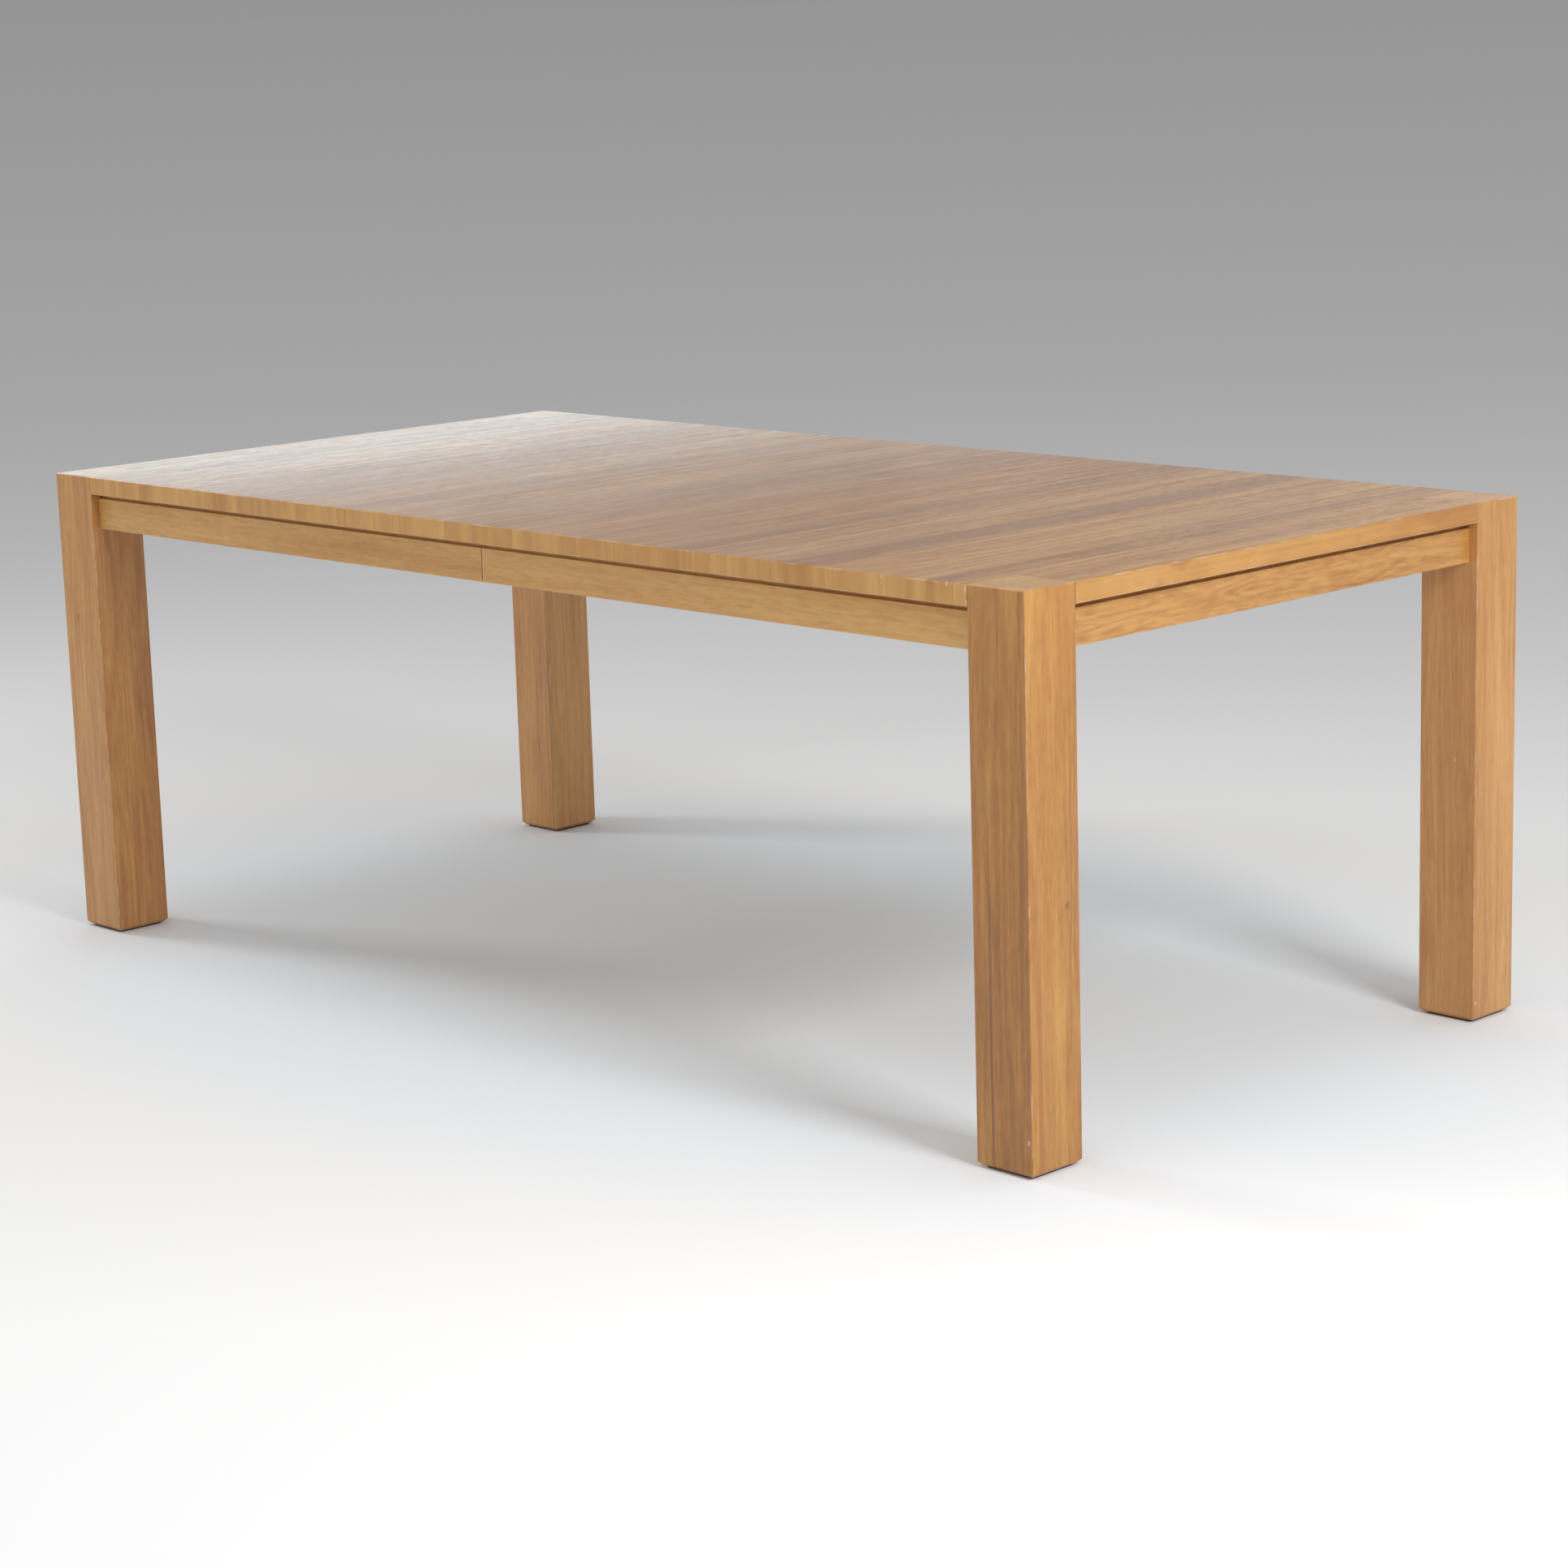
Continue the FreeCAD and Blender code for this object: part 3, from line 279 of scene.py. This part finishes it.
def lightRoom():
    data = bpy.data.lights.new("skySun", "SUN")
    data.energy = skySun["strength"]
    data.angle = math.radians(skySun["angle"])
    hangLamp("skySun", data, (0.0, 0.0, skySun["height"]), Vector((0.0, 0.0, 1.0)))
    for name, box in boxes.items():
        data = bpy.data.lights.new(name, "AREA")
        data.shape = box.get("shape", "RECTANGLE")
        data.size = box["wide"]
        data.size_y = box["tall"]
        data.energy = box["power"]
        data.color = box.get("tint", (1.0, 1.0, 1.0))
        data.spread = math.radians(box["spread"])
        hangLamp(name, data, box["place"], Vector(box["place"]) - Vector(box["aim"]))


def setWorld():
    world = bpy.data.worlds.new("studio")
    bpy.context.scene.world = world
    air = Finish(world)
    eye, gloss, glass = (
        air.add("ShaderNodeLightPath", out="Is " + ray + " Ray")
        for ray in ("Camera", "Glossy", "Transmission")
    )
    view = air.add("ShaderNodeTexCoord", out="Generated")
    height = air.add("ShaderNodeSeparateXYZ", {}, {0: view}, "Z")
    seen = air.ramp(height, grey(room["seen"]))
    colour = air.mix(eye.most(gloss).most(glass), (room["ambient"],) * 3, seen)
    back = air.add("ShaderNodeBackground", {}, {"Color": colour})
    air.add("ShaderNodeOutputWorld", {}, {"Surface": back})


lightRoom()
setWorld()
print("floor, light and world set")


# Wood: each grain gives the axes along, across and through the board
grainAxes = {"x": (0, 2, 1), "y": (1, 0, 2), "yUpright": (1, 2, 0), "z": (2, 0, 1)}
# Noise: scale along and across the grain per metre, detail, roughness
woodNoise = {
    "drift": (2.4, 4.0, 2.0, 0.5),
    "broad": (1.1, 24.0, 2.0, 0.5),
    "fine": (5.5, 150.0, 3.0, 0.6),
    "hair": (24.0, 640.0, 2.0, 0.5),
    "fleck": (45.0, 230.0, 2.0, 0.5),
    "cloud": (3.6, 10.0, 3.0, 0.5),
    "ruddy": (0.8, 17.0, 3.0, 0.5),
}
woodWeights = {
    "toneBroad": 0.50, "toneCloud": 0.45, "streakFine": 0.85, "streakHair": 0.55,
    "lacquerFleck": 1.6, "lacquerFine": 0.8,
    "glossPore": 0.18, "glossCloud": 0.12, "glossFine": -0.30,
    "bumpHair": 0.4, "bumpPore": -0.8, "bumpFine": 0.5,
}
# Where a smooth step starts and ends
woodFades = {
    "joint": (0.0, 0.02), "figure": (0.3, 1.0), "band": (0.35, 1.0), "line": (0.2, 1.0),
    "ruddy": (0.44, 0.74), "poreHair": (0.60, 0.74), "poreFine": (-0.27, 0.13),
    "side": (0.6, 0.8), "cap": (0.5, 0.9), "under": (0.4, 0.9),
    "wearAndHighlight": (0.2, 1.0), "rub": (0.46, 0.68),
}
bumpDepth = 0.0006
ringFine = 2.5
bandMark = {"wander": 0.02, "even": 0.6, "fine": 1.6}
lineMark = {"drift": 0.010, "broad": 0.006, "even": 0.55, "fine": 1.8, "start": 0.10, "end": 0.14}
rubNoise = (21.0, 4.0, 0.65)  # scale, detail, roughness
chipNoise = {"scale": 160.0, "detail": 1.0, "ragged": 1.2, "tall": 0.6}
toneStops = {"dark": 0.10, "brown": 0.34, "mid": 0.55, "light": 0.86}
oakTones = {
    "dark": (0.322, 0.131, 0.028),
    "brown": (0.460, 0.206, 0.045),
    "mid": (0.570, 0.285, 0.068),
    "light": (0.680, 0.375, 0.108),
    "line": (0.185, 0.070, 0.018),
    "red": (0.430, 0.165, 0.036),
    "worn": (0.780, 0.600, 0.380),
    "raw": (0.540, 0.410, 0.270),
}


# The grain of one board, at several scales, wandering a little from side to side
class Grain:
    def __init__(self, wood, node, board):
        self.wood = wood
        self.seed = board["seed"]
        self.low, self.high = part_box(node)
        self.place = wood.place(board.get("turn", 0.0))
        self.length, self.side, self.depth = (self.place[axis] for axis in grainAxes[board["grain"]])
        self.plankAndSheenTone = 0.0
        self.shift = 0.0
        self.joint = None
        if "planksWithSheen" in board:
            self.cutPlanks(board)
        self.along = self.length * board["stretch"]
        self.drift = self.grow("drift", self.along, self.side, self.depth) - 0.5
        wander = self.drift * board["drift"]
        self.across = self.side + wander
        self.through = (self.depth + wander) * board["thick"]
        self.broad = self.grow("broad", self.along, self.across, self.through) - 0.5
        self.fine = self.grow("fine", self.along, self.across, self.through) - 0.5
        self.hair = self.grow("hair", self.along, self.across, self.through)
        self.fleck = self.grow("fleck", self.length, self.across, self.through) - 0.5
        self.cloud = self.grow("cloud", self.along, self.side, self.depth, swap=True) - 0.5
        self.ruddy = self.grow("ruddy", self.along, self.across, self.through, swap=True)
        self.pore = self.hair.rise(*woodFades["poreHair"]) * self.fine.rise(*woodFades["poreFine"])
        normal = wood.add("ShaderNodeTexCoord", out="Normal")
        self.faces = [wood.add("ShaderNodeSeparateXYZ", {}, {0: normal}, axis) for axis in "XYZ"]

    # planks: one tone each, with a hairline where two meet; the tones also run darker at the left end and
    # lighter at the right, painted shade under the left sheen and painted sheen at the right end
    def cutPlanks(self, board):
        start = self.low.x
        span = self.high.x - start
        stops = grey([((left - start) / span, shade) for left, shade in board["planksWithSheen"]])
        share = (self.place[0] - start) / span
        shade = self.wood.ramp(share, stops, "CONSTANT")
        after = self.wood.ramp(share + board["jointWidth"] / span, stops, "CONSTANT")
        self.plankAndSheenTone = shade - 0.5
        self.shift = shade * board["plankShift"]
        self.joint = abs(after - shade).rise(*woodFades["joint"])

    def grow(self, name, along, across, through, swap=False):
        long, wide, detail, roughness = woodNoise[name]
        ahead, aside = (self.seed, self.shift) if swap else (self.shift, self.seed)
        return self.wood.noise(along * long + ahead, across * wide + aside, through * wide, detail, roughness)


# How pale the wood is at a point, with painted light and shade added per side and per plank, and how much
# lacquer it has there
def boardTone(grain, board):
    endFace, frontFace, upFace = grain.faces
    tone = 0.5 + board["tone"] + grain.plankAndSheenTone
    tone = tone + grain.broad * woodWeights["toneBroad"] + grain.cloud * woodWeights["toneCloud"]
    streaks = grain.fine * woodWeights["streakFine"] + (grain.hair - 0.5) * woodWeights["streakHair"]
    streaks = streaks * board["crisp"]
    fleck = grain.fleck
    if "edge" in board:
        edge = board["edge"]
        onEnd, onFront = abs(endFace), abs(frontFace)
        frontTone = edge["front"] - grain.plankAndSheenTone * edge["even"]
        streaks = streaks * (1.0 - onFront * edge["calm"]) + onFront * frontTone
        long, deep, detail = edge["lineNoise"]
        lines = grain.wood.noise(grain.along * long, grain.seed, grain.depth * deep, detail) - 0.5
        tone = tone + lines * onEnd * edge["lines"]
        fleck = fleck * (1.0 - onEnd * edge["endCalm"]) * (1.0 - onFront * edge["calm"])
    tone = tone + streaks + fleck * board["fleck"]

    lacquer = board["lacquer"]
    if lacquer:
        uneven = fleck * woodWeights["lacquerFleck"] + grain.fine * woodWeights["lacquerFine"]
        lacquer = lacquer * (1.0 + uneven)
    # the upper end face of a leg lighter or darker by a set amount; on the two left legs it is a painted
    # shade under the sheen, so the sheen there reads whiter
    if "cap" in board:
        capped = upFace.rise(*woodFades["cap"])
        tone = tone + capped * board["cap"]
        lacquer = lacquer + capped * board["capLacquer"]
    # each side of a board lighter or darker by a set amount: painted light and shade matched to how that side
    # is lit
    for face, offset in zip((endFace, frontFace), board.get("faces", ())):
        tone = tone + abs(face).rise(*woodFades["side"]) * offset
    return tone, lacquer


# Growth rings cut flat, as loops and arches, and broad dark bands
def figureTone(grain, board, tone):
    for figure in board.get("figures", ()):
        wide = figure["wide"]
        along = grain.along * figure["long"] + grain.seed
        field = grain.wood.noise(along, grain.across * wide + grain.shift, grain.through * wide, 1.0)
        ring = (field * figure["rings"] + grain.fine * ringFine).wave() * figure["weight"]
        if "at" in figure:
            offAlong = (grain.length - figure["at"][0]) / figure["reach"][0]
            offSide = (grain.side - figure["at"][1]) / figure["reach"][1]
            off = offAlong * offAlong + offSide * offSide + grain.drift
            ring = ring * (1.0 - off.rise(*woodFades["figure"]))
        tone = tone + ring
    for band in board.get("bands", ()):
        off = abs(grain.across - band["side"] + grain.broad * bandMark["wander"]) / band["wide"]
        mark = (1.0 - off.rise(*woodFades["band"])) * band["weight"]
        tone = tone - mark * (bandMark["even"] + grain.fine * bandMark["fine"])
    return tone


# Dark lines that run with the grain
def drawLines(grain, board, tones, colour):
    for line in board.get("lines", ()):
        wander = grain.drift * lineMark["drift"] + grain.broad * lineMark["broad"]
        off = abs(grain.place["xyz".index(line["axis"])] - line["at"] + wander) / line["wide"]
        started = grain.length.rise(line["low"], line["low"] + lineMark["start"])
        ended = grain.length.rise(line["high"] - lineMark["end"], line["high"])
        mark = (1.0 - off.rise(*woodFades["line"])) * started * (1.0 - ended)
        mark = mark * (lineMark["even"] + grain.fine * lineMark["fine"]) * line["weight"]
        colour = grain.wood.mix(mark.most(0.0).least(1.0), colour, tones[line["tone"]])
    if grain.joint is not None:
        colour = grain.wood.mix(grain.joint * board["jointWeight"], colour, tones["line"])
    return colour


# Pale wear along the edges, partly a painted edge highlight, and small nicks
def wearHighlightAndNicks(grain, board, tones, colour):
    wood = grain.wood
    x, y, z = grain.place
    if "wearAndHighlight" in board:
        middle = (grain.low + grain.high) / 2
        sizes = grain.high - grain.low
        first, second, third = (
            size / 2 - abs(axis - at) for axis, at, size in zip(grain.place, middle, sizes)
        )
        near = first.least(second).most(first.most(second).least(third))  # the middle one of the three gaps
        scale, detail, roughness = rubNoise
        rub = wood.noise(x * scale, y * scale, z * scale + grain.seed, detail, roughness)
        # pale band along the edges: partly wear, partly a painted highlight
        worn = (1.0 - (near / board["wearAndHighlightWidth"]).rise(*woodFades["wearAndHighlight"])) * rub.rise(*woodFades["rub"])
        colour = wood.mix(worn * board["wearAndHighlight"], colour, tones["worn"])
    if "nicks" in board:
        chip = wood.speckle((chipNoise["scale"],) * 3, chipNoise["detail"]) - 0.5
        for nick in board["nicks"]:
            atX, atY, atZ = nick["at"]
            offs = (x - atX, y - atY, (z - atZ) * chipNoise["tall"])
            far = sum(off ** 2.0 for off in offs) ** 0.5
            mark = 1.0 - (far / nick["radius"] + chip * chipNoise["ragged"]).rise(nick["core"], 1.0)
            colour = wood.mix(mark * nick["weight"], colour, tones[nick["tone"]])
    return colour


def boardFinish(node, board, tones):
    wood = newFinish(board["finish"] + "_" + node)
    grain = Grain(wood, node, board)
    tone, lacquer = boardTone(grain, board)
    tone = figureTone(grain, board, tone)
    colour = wood.ramp(tone, [(stop, tones[name]) for name, stop in toneStops.items()])
    colour = wood.mix(grain.ruddy.rise(*woodFades["ruddy"]) * board["ruddy"], colour, tones["red"])
    colour = wood.mix(grain.pore * board["pores"], colour, tones["line"])
    colour = drawLines(grain, board, tones, colour)
    colour = wearHighlightAndNicks(grain, board, tones, colour)
    if "raw" in board:
        under = (0.0 - grain.faces[2]).rise(*woodFades["under"])
        colour = wood.mix(under * board["raw"], colour, tones["raw"])
    gloss = board["gloss"] + grain.pore * woodWeights["glossPore"] + grain.cloud * woodWeights["glossCloud"]
    gloss = gloss + grain.fine * woodWeights["glossFine"]
    height = grain.hair * woodWeights["bumpHair"] + grain.pore * woodWeights["bumpPore"]
    height = height + grain.fine * woodWeights["bumpFine"]
    dress(node, wood.close({
        "Base Color": colour,
        "Roughness": gloss,
        "Normal": wood.bump(height, bumpDepth, board["relief"]),
        "IOR": 1.5,
        "Coat Weight": lacquer,
        "Coat Roughness": board["polish"],
    }))


oakBoard = {
    "finish": "oak", "tone": 0.0, "drift": 0.016, "thick": 1.0, "stretch": 0.8, "crisp": 0.6, "fleck": 0.35,
    "pores": 0.40, "ruddy": 0.45, "wearAndHighlight": 0.40, "wearAndHighlightWidth": 0.0022,
    "gloss": 0.43, "relief": 0.4, "lacquer": 0.6, "polish": 0.40,
}
chipped = {"core": 0.7, "weight": 0.5, "tone": "worn"}
knot = {"core": 0.1, "weight": 0.6, "tone": "line"}

# Tops: planks run across the table, so their ends show on the long edges
topBoard = {
    **oakBoard, "grain": "y", "tone": -0.17, "drift": 0.02, "thick": 0.03, "stretch": 0.45,
    "crisp": 0.95, "fleck": 0.50,
    "jointWidth": 0.0009, "jointWeight": 0.40, "plankShift": 71.0,
    "edge": {
        "front": 0.36, "even": 0.8, "calm": 0.75, "endCalm": 0.9,
        "lines": 0.45, "lineNoise": (4.0, 420.0, 3.0),
    },
    "wearAndHighlight": 0.55, "raw": 0.8, "relief": 0.6, "lacquer": 0.5, "polish": 0.20,
}
topFigure = {"long": 2.6, "wide": 8.0, "rings": 70.0, "weight": 0.06}
topLeft = {
    **topBoard, "seed": 3.7,
    # plank tones: partly each plank's own tone, partly painted shade under the sheen at this left end
    "planksWithSheen": (
        (-1.066, 0.40), (-0.960, 0.34), (-0.890, 0.36), (-0.830, 0.38), (-0.720, 0.33), (-0.568, 0.38),
        (-0.434, 0.45), (-0.300, 0.40), (-0.170, 0.44), (-0.066, 0.40),
    ),
    "figures": (
        topFigure,
        {
            "long": 4.2, "wide": 11.0, "rings": 60.0, "weight": 0.18,
            "at": (-0.04, -0.745), "reach": (0.30, 0.17),
        },
    ),
    "bands": ({"side": -0.50, "wide": 0.05, "weight": 0.20},),
}
topRight = {
    **topBoard, "seed": 11.3,
    # plank tones: partly each plank's own tone, partly a painted sheen growing lighter towards the right end
    "planksWithSheen": (
        (0.000, 0.43), (0.087, 0.40), (0.223, 0.46), (0.301, 0.44), (0.429, 0.45), (0.520, 0.56),
        (0.639, 0.50), (0.713, 0.60), (0.897, 0.53), (0.943, 0.59), (1.023, 0.55),
    ),
    "figures": (
        topFigure,
        {
            "long": 3.4, "wide": 10.0, "rings": 60.0, "weight": 0.10,
            "at": (0.05, 0.365), "reach": (0.50, 0.10),
        },
    ),
    "bands": (
        {"side": 0.445, "wide": 0.03, "weight": 0.34},
        {"side": 0.660, "wide": 0.05, "weight": 0.32},
        {"side": 0.905, "wide": 0.015, "weight": 0.25},
    ),
    "nicks": (
        {**chipped, "at": (0.9675, -0.531, 0.7600), "radius": 0.0035},
        {**chipped, "at": (0.9680, -0.531, 0.7433), "radius": 0.0025},
        {**chipped, "at": (0.9350, -0.531, 0.7650), "radius": 0.0030},
        {**chipped, "at": (0.8200, -0.531, 0.7633), "radius": 0.0022},
    ),
}
boardFinish("top_left", topLeft, oakTones)
boardFinish("top_right", topRight, oakTones)
print("tops finished")

# Legs: grain upright, each with its own marks, three of them a little pinker as a painted sheen, and each
# side painted lighter or darker to match how it is lit
legBoard = {
    **oakBoard, "grain": "z", "tone": -0.02, "fleck": 0.24, "lacquer": 0.3, "polish": 0.20,
    "cap": 0.16, "capLacquer": 0.2,
    "figures": ({"long": 1.9, "wide": 17.0, "rings": 60.0, "weight": 0.045},),
}
darkLine = {"tone": "line", "low": -0.1}
redLine = {"tone": "red", "low": -0.1}
# three legs get pinker, bluer tones as a painted sheen
sheenPinkBlue = 1.3
sheenPinkTones = {name: (red, green, blue * sheenPinkBlue) for name, (red, green, blue) in oakTones.items()}
legs = {
    "leg_front_right": {
        **legBoard, "seed": 21.0, "faces": (-0.05, -0.22),
        "lines": (
            {**darkLine, "axis": "x", "at": 0.999, "wide": 0.0036, "high": 0.47, "weight": 1.00},
            {**redLine, "axis": "x", "at": 1.028, "wide": 0.0070, "low": 0.2, "high": 0.74, "weight": 1.20},
            {**redLine, "axis": "y", "at": -0.512, "wide": 0.0070, "high": 0.36, "weight": 1.90},
        ),
        "nicks": (
            {**chipped, "at": (1.060, -0.531, 0.050), "radius": 0.0025},
            {**knot, "at": (1.066, -0.457, 0.350), "radius": 0.0060},
        ),
    },
    "leg_front_left": {
        **legBoard, "seed": 34.0, "faces": (-0.13, 0.03), "cap": -0.12,
        "lines": ({**darkLine, "axis": "y", "at": -0.490, "wide": 0.0030, "high": 0.55, "weight": 0.40},),
        "nicks": ({**knot, "at": (-1.030, -0.531, 0.530), "radius": 0.0040},),
    },
    "leg_back_right": {
        **legBoard, "seed": 47.0, "faces": (0.02, 0.08),
        "lines": (
            {**darkLine, "axis": "x", "at": 1.012, "wide": 0.0022, "low": 0.1, "high": 0.6, "weight": 0.25},
        ),
        "nicks": (
            {**chipped, "at": (1.030, 0.434, 0.390), "radius": 0.0020},
            {**chipped, "at": (1.066, 0.440, 0.030), "radius": 0.0025},
        ),
    },
    "leg_back_left": {
        **legBoard, "seed": 55.0, "faces": (0.13, 0.08), "cap": -0.12,
        "lines": (
            {**darkLine, "axis": "x", "at": -0.975, "wide": 0.0040, "high": 0.9, "weight": 0.70},
            {**darkLine, "axis": "y", "at": 0.470, "wide": 0.0024, "high": 0.6, "weight": 0.35},
        ),
    },
}
for node, leg in legs.items():
    boardFinish(node, leg, oakTones if node == "leg_front_right" else sheenPinkTones)
print("legs finished")

# Aprons: grain lengthwise, the end ones more swirly; the side aprons are painted lighter and the end ones
# darker, painted light and shade matched to how each side is lit
swirl = {"long": 7.0, "wide": 30.0, "rings": 42.0, "weight": 0.06}
sideApron = {**oakBoard, "grain": "x", "tone": 0.22, "wearAndHighlight": 0.35, "figures": (swirl,)}
endApron = {**sideApron, "grain": "yUpright", "tone": 0.03, "figures": ({**swirl, "weight": 0.07},)}
aprons = {
    "apron_front_left": {**sideApron, "seed": 61.0},
    "apron_front_right": {**sideApron, "seed": 66.0},
    "apron_back_left": {**sideApron, "seed": 71.0},
    "apron_back_right": {**sideApron, "seed": 76.0},
    "apron_end_left": {**endApron, "seed": 81.0},
    "apron_end_right": {**endApron, "seed": 86.0},
}
for node, apron in aprons.items():
    boardFinish(node, apron, oakTones)
print("aprons finished")


# Inner wood, planed and unlacquered
innerTones = {
    "dark": (0.390, 0.255, 0.125),
    "brown": (0.500, 0.345, 0.185),
    "mid": (0.590, 0.430, 0.250),
    "light": (0.660, 0.500, 0.310),
    "line": (0.270, 0.160, 0.070),
    "red": (0.470, 0.300, 0.160),
}
innerBoard = {
    "finish": "inner_wood", "tone": 0.0, "drift": 0.010, "thick": 1.0, "stretch": 0.6,
    "crisp": 0.8, "fleck": 0.25, "pores": 0.25, "ruddy": 0.25,
    "gloss": 0.66, "relief": 0.5, "lacquer": 0.0, "polish": 0.40,
}
innerBoards = {
    ("rail_", "centre_rail_", "cleat_front", "cleat_back"): {**innerBoard, "grain": "x"},
    ("cleat_end",): {**innerBoard, "grain": "y"},
    ("corner_block",): {**innerBoard, "grain": "x", "turn": math.pi / 4},
}
innerSeed = {"first": 100.0, "step": 3.1}
for count, node in enumerate(sorted(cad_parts)):
    for starts, board in innerBoards.items():
        if node.startswith(starts):
            boardFinish(node, {**board, "seed": innerSeed["first"] + count * innerSeed["step"]}, innerTones)
print("inner wood finished")


# Small parts
beechLook = {
    "brown": (0.54, 0.37, 0.21), "pale": (0.70, 0.53, 0.34), "broad": (40.0, 40.0, 40.0),
    "ray": (0.36, 0.21, 0.10), "rays": (700.0, 700.0, 2200.0), "rayEdge": (0.58, 0.70), "rayWeight": 0.5,
    "roughness": 0.58, "roughRay": 0.2, "bumpDepth": 0.0003, "bump": 0.4,
}


def beechFinish():
    beech = newFinish("beech")
    rays = beech.speckle(beechLook["rays"], 2.0)
    colour = beech.mix(beech.speckle(beechLook["broad"], 2.0), beechLook["brown"], beechLook["pale"])
    colour = beech.mix(rays.rise(*beechLook["rayEdge"]) * beechLook["rayWeight"], colour, beechLook["ray"])
    return beech.close({
        "Base Color": colour,
        "Roughness": beechLook["roughness"] + rays * beechLook["roughRay"],
        "Normal": beech.bump(rays, beechLook["bumpDepth"], beechLook["bump"]),
    })


plateLook = {
    "spangle": 260.0, "spangleWeight": 0.55,
    "smear": (60.0, 60.0, 60.0), "smearEdge": (0.48, 0.72), "smearWeight": 0.5,
    "brushed": (900.0, 120.0, 120.0),
    "roughness": 0.28, "roughSmear": 0.16, "roughSpangle": 0.08, "roughBrushed": 0.06,
    "bumpSpangle": 0.3, "bumpDepth": 0.0002, "bump": 0.25,
}
zincLook = {"plain": (0.46, 0.47, 0.49), "pale": (0.68, 0.69, 0.71), "smeared": (0.36, 0.36, 0.37)}
yellowLook = {"plain": (0.60, 0.47, 0.20), "pale": (0.78, 0.66, 0.36), "smeared": (0.55, 0.40, 0.26)}


def platedFinish(name, look):
    plate = newFinish(name)
    point = plate.add("ShaderNodeTexCoord", out="Object")
    spangle = plate.add("ShaderNodeTexVoronoi", {}, {"Vector": point, "Scale": plateLook["spangle"]}, "Color")
    smear = plate.speckle(plateLook["smear"], 4.0)
    brushed = plate.speckle(plateLook["brushed"], 3.0)
    colour = plate.mix(spangle * plateLook["spangleWeight"], look["plain"], look["pale"])
    smeared = smear.rise(*plateLook["smearEdge"]) * plateLook["smearWeight"]
    colour = plate.mix(smeared, colour, look["smeared"])
    dull = plateLook["roughness"] + smear * plateLook["roughSmear"]
    dull = dull + spangle * plateLook["roughSpangle"] + brushed * plateLook["roughBrushed"]
    height = brushed + spangle * plateLook["bumpSpangle"]
    return plate.close({
        "Base Color": colour,
        "Metallic": 1.0,
        "Roughness": dull,
        "Normal": plate.bump(height, plateLook["bumpDepth"], plateLook["bump"]),
    })


nylonLook = {
    "dull": (0.66, 0.63, 0.56), "pale": (0.80, 0.78, 0.73), "cloud": (30.0, 30.0, 30.0),
    "speck": (0.45, 0.42, 0.36), "grit": (1400.0, 1400.0, 1400.0),
    "gritEdge": (0.62, 0.76), "gritWeight": 0.25,
    "roughness": 0.40, "roughCloud": 0.14, "bumpDepth": 0.0002, "bump": 0.3,
}


def nylonFinish():
    nylon = newFinish("nylon")
    cloud = nylon.speckle(nylonLook["cloud"], 3.0)
    grit = nylon.speckle(nylonLook["grit"], 2.0)
    colour = nylon.mix(cloud, nylonLook["dull"], nylonLook["pale"])
    specks = grit.rise(*nylonLook["gritEdge"]) * nylonLook["gritWeight"]
    colour = nylon.mix(specks, colour, nylonLook["speck"])
    return nylon.close({
        "Base Color": colour,
        "Roughness": nylonLook["roughness"] + cloud * nylonLook["roughCloud"],
        "Normal": nylon.bump(grit, nylonLook["bumpDepth"], nylonLook["bump"]),
    })


feltLook = {
    "deep": (0.012, 0.010, 0.008), "fibre": (0.065, 0.055, 0.045), "fibreEdge": (0.40, 0.75),
    "twist": (90.0, 90.0, 90.0), "twistWeight": 0.02, "thin": 2600.0, "long": 700.0, "through": 900.0,
    "roughness": 0.90, "roughFibre": 0.08, "bumpDepth": 0.0006, "bump": 0.8, "sheen": 0.3,
}


def feltFinish():
    felt = newFinish("felt")
    x, y, z = felt.place()
    twist = felt.speckle(feltLook["twist"], 2.0) * feltLook["twistWeight"]
    thin, long, through = (feltLook[name] for name in ("thin", "long", "through"))
    fibre = felt.noise((x + twist) * thin, y * long, z * through, 3.0)
    cross = felt.noise(x * long, (y + twist) * thin, z * through, 3.0)
    hairs = fibre.most(cross)
    return felt.close({
        "Base Color": felt.mix(hairs.rise(*feltLook["fibreEdge"]), feltLook["deep"], feltLook["fibre"]),
        "Roughness": feltLook["roughness"] + hairs * feltLook["roughFibre"],
        "Normal": felt.bump(hairs, feltLook["bumpDepth"], feltLook["bump"]),
        "Sheen Weight": feltLook["sheen"],
    })


smallParts = {
    ("dowels", "seam_pins"): beechFinish(),
    ("hanger", "flange", "stop_pins", "lock_", "pinion_axle"): platedFinish("zinc_steel", zincLook),
    ("wood_screws", "plate_screws"): platedFinish("yellow_zinc", yellowLook),
    ("rack_", "pinion_front", "pinion_back"): nylonFinish(),
    ("foot_pads",): feltFinish(),
}
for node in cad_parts:
    for starts, material in smallParts.items():
        if node.startswith(starts):
            dress(node, material)
print("small parts finished")
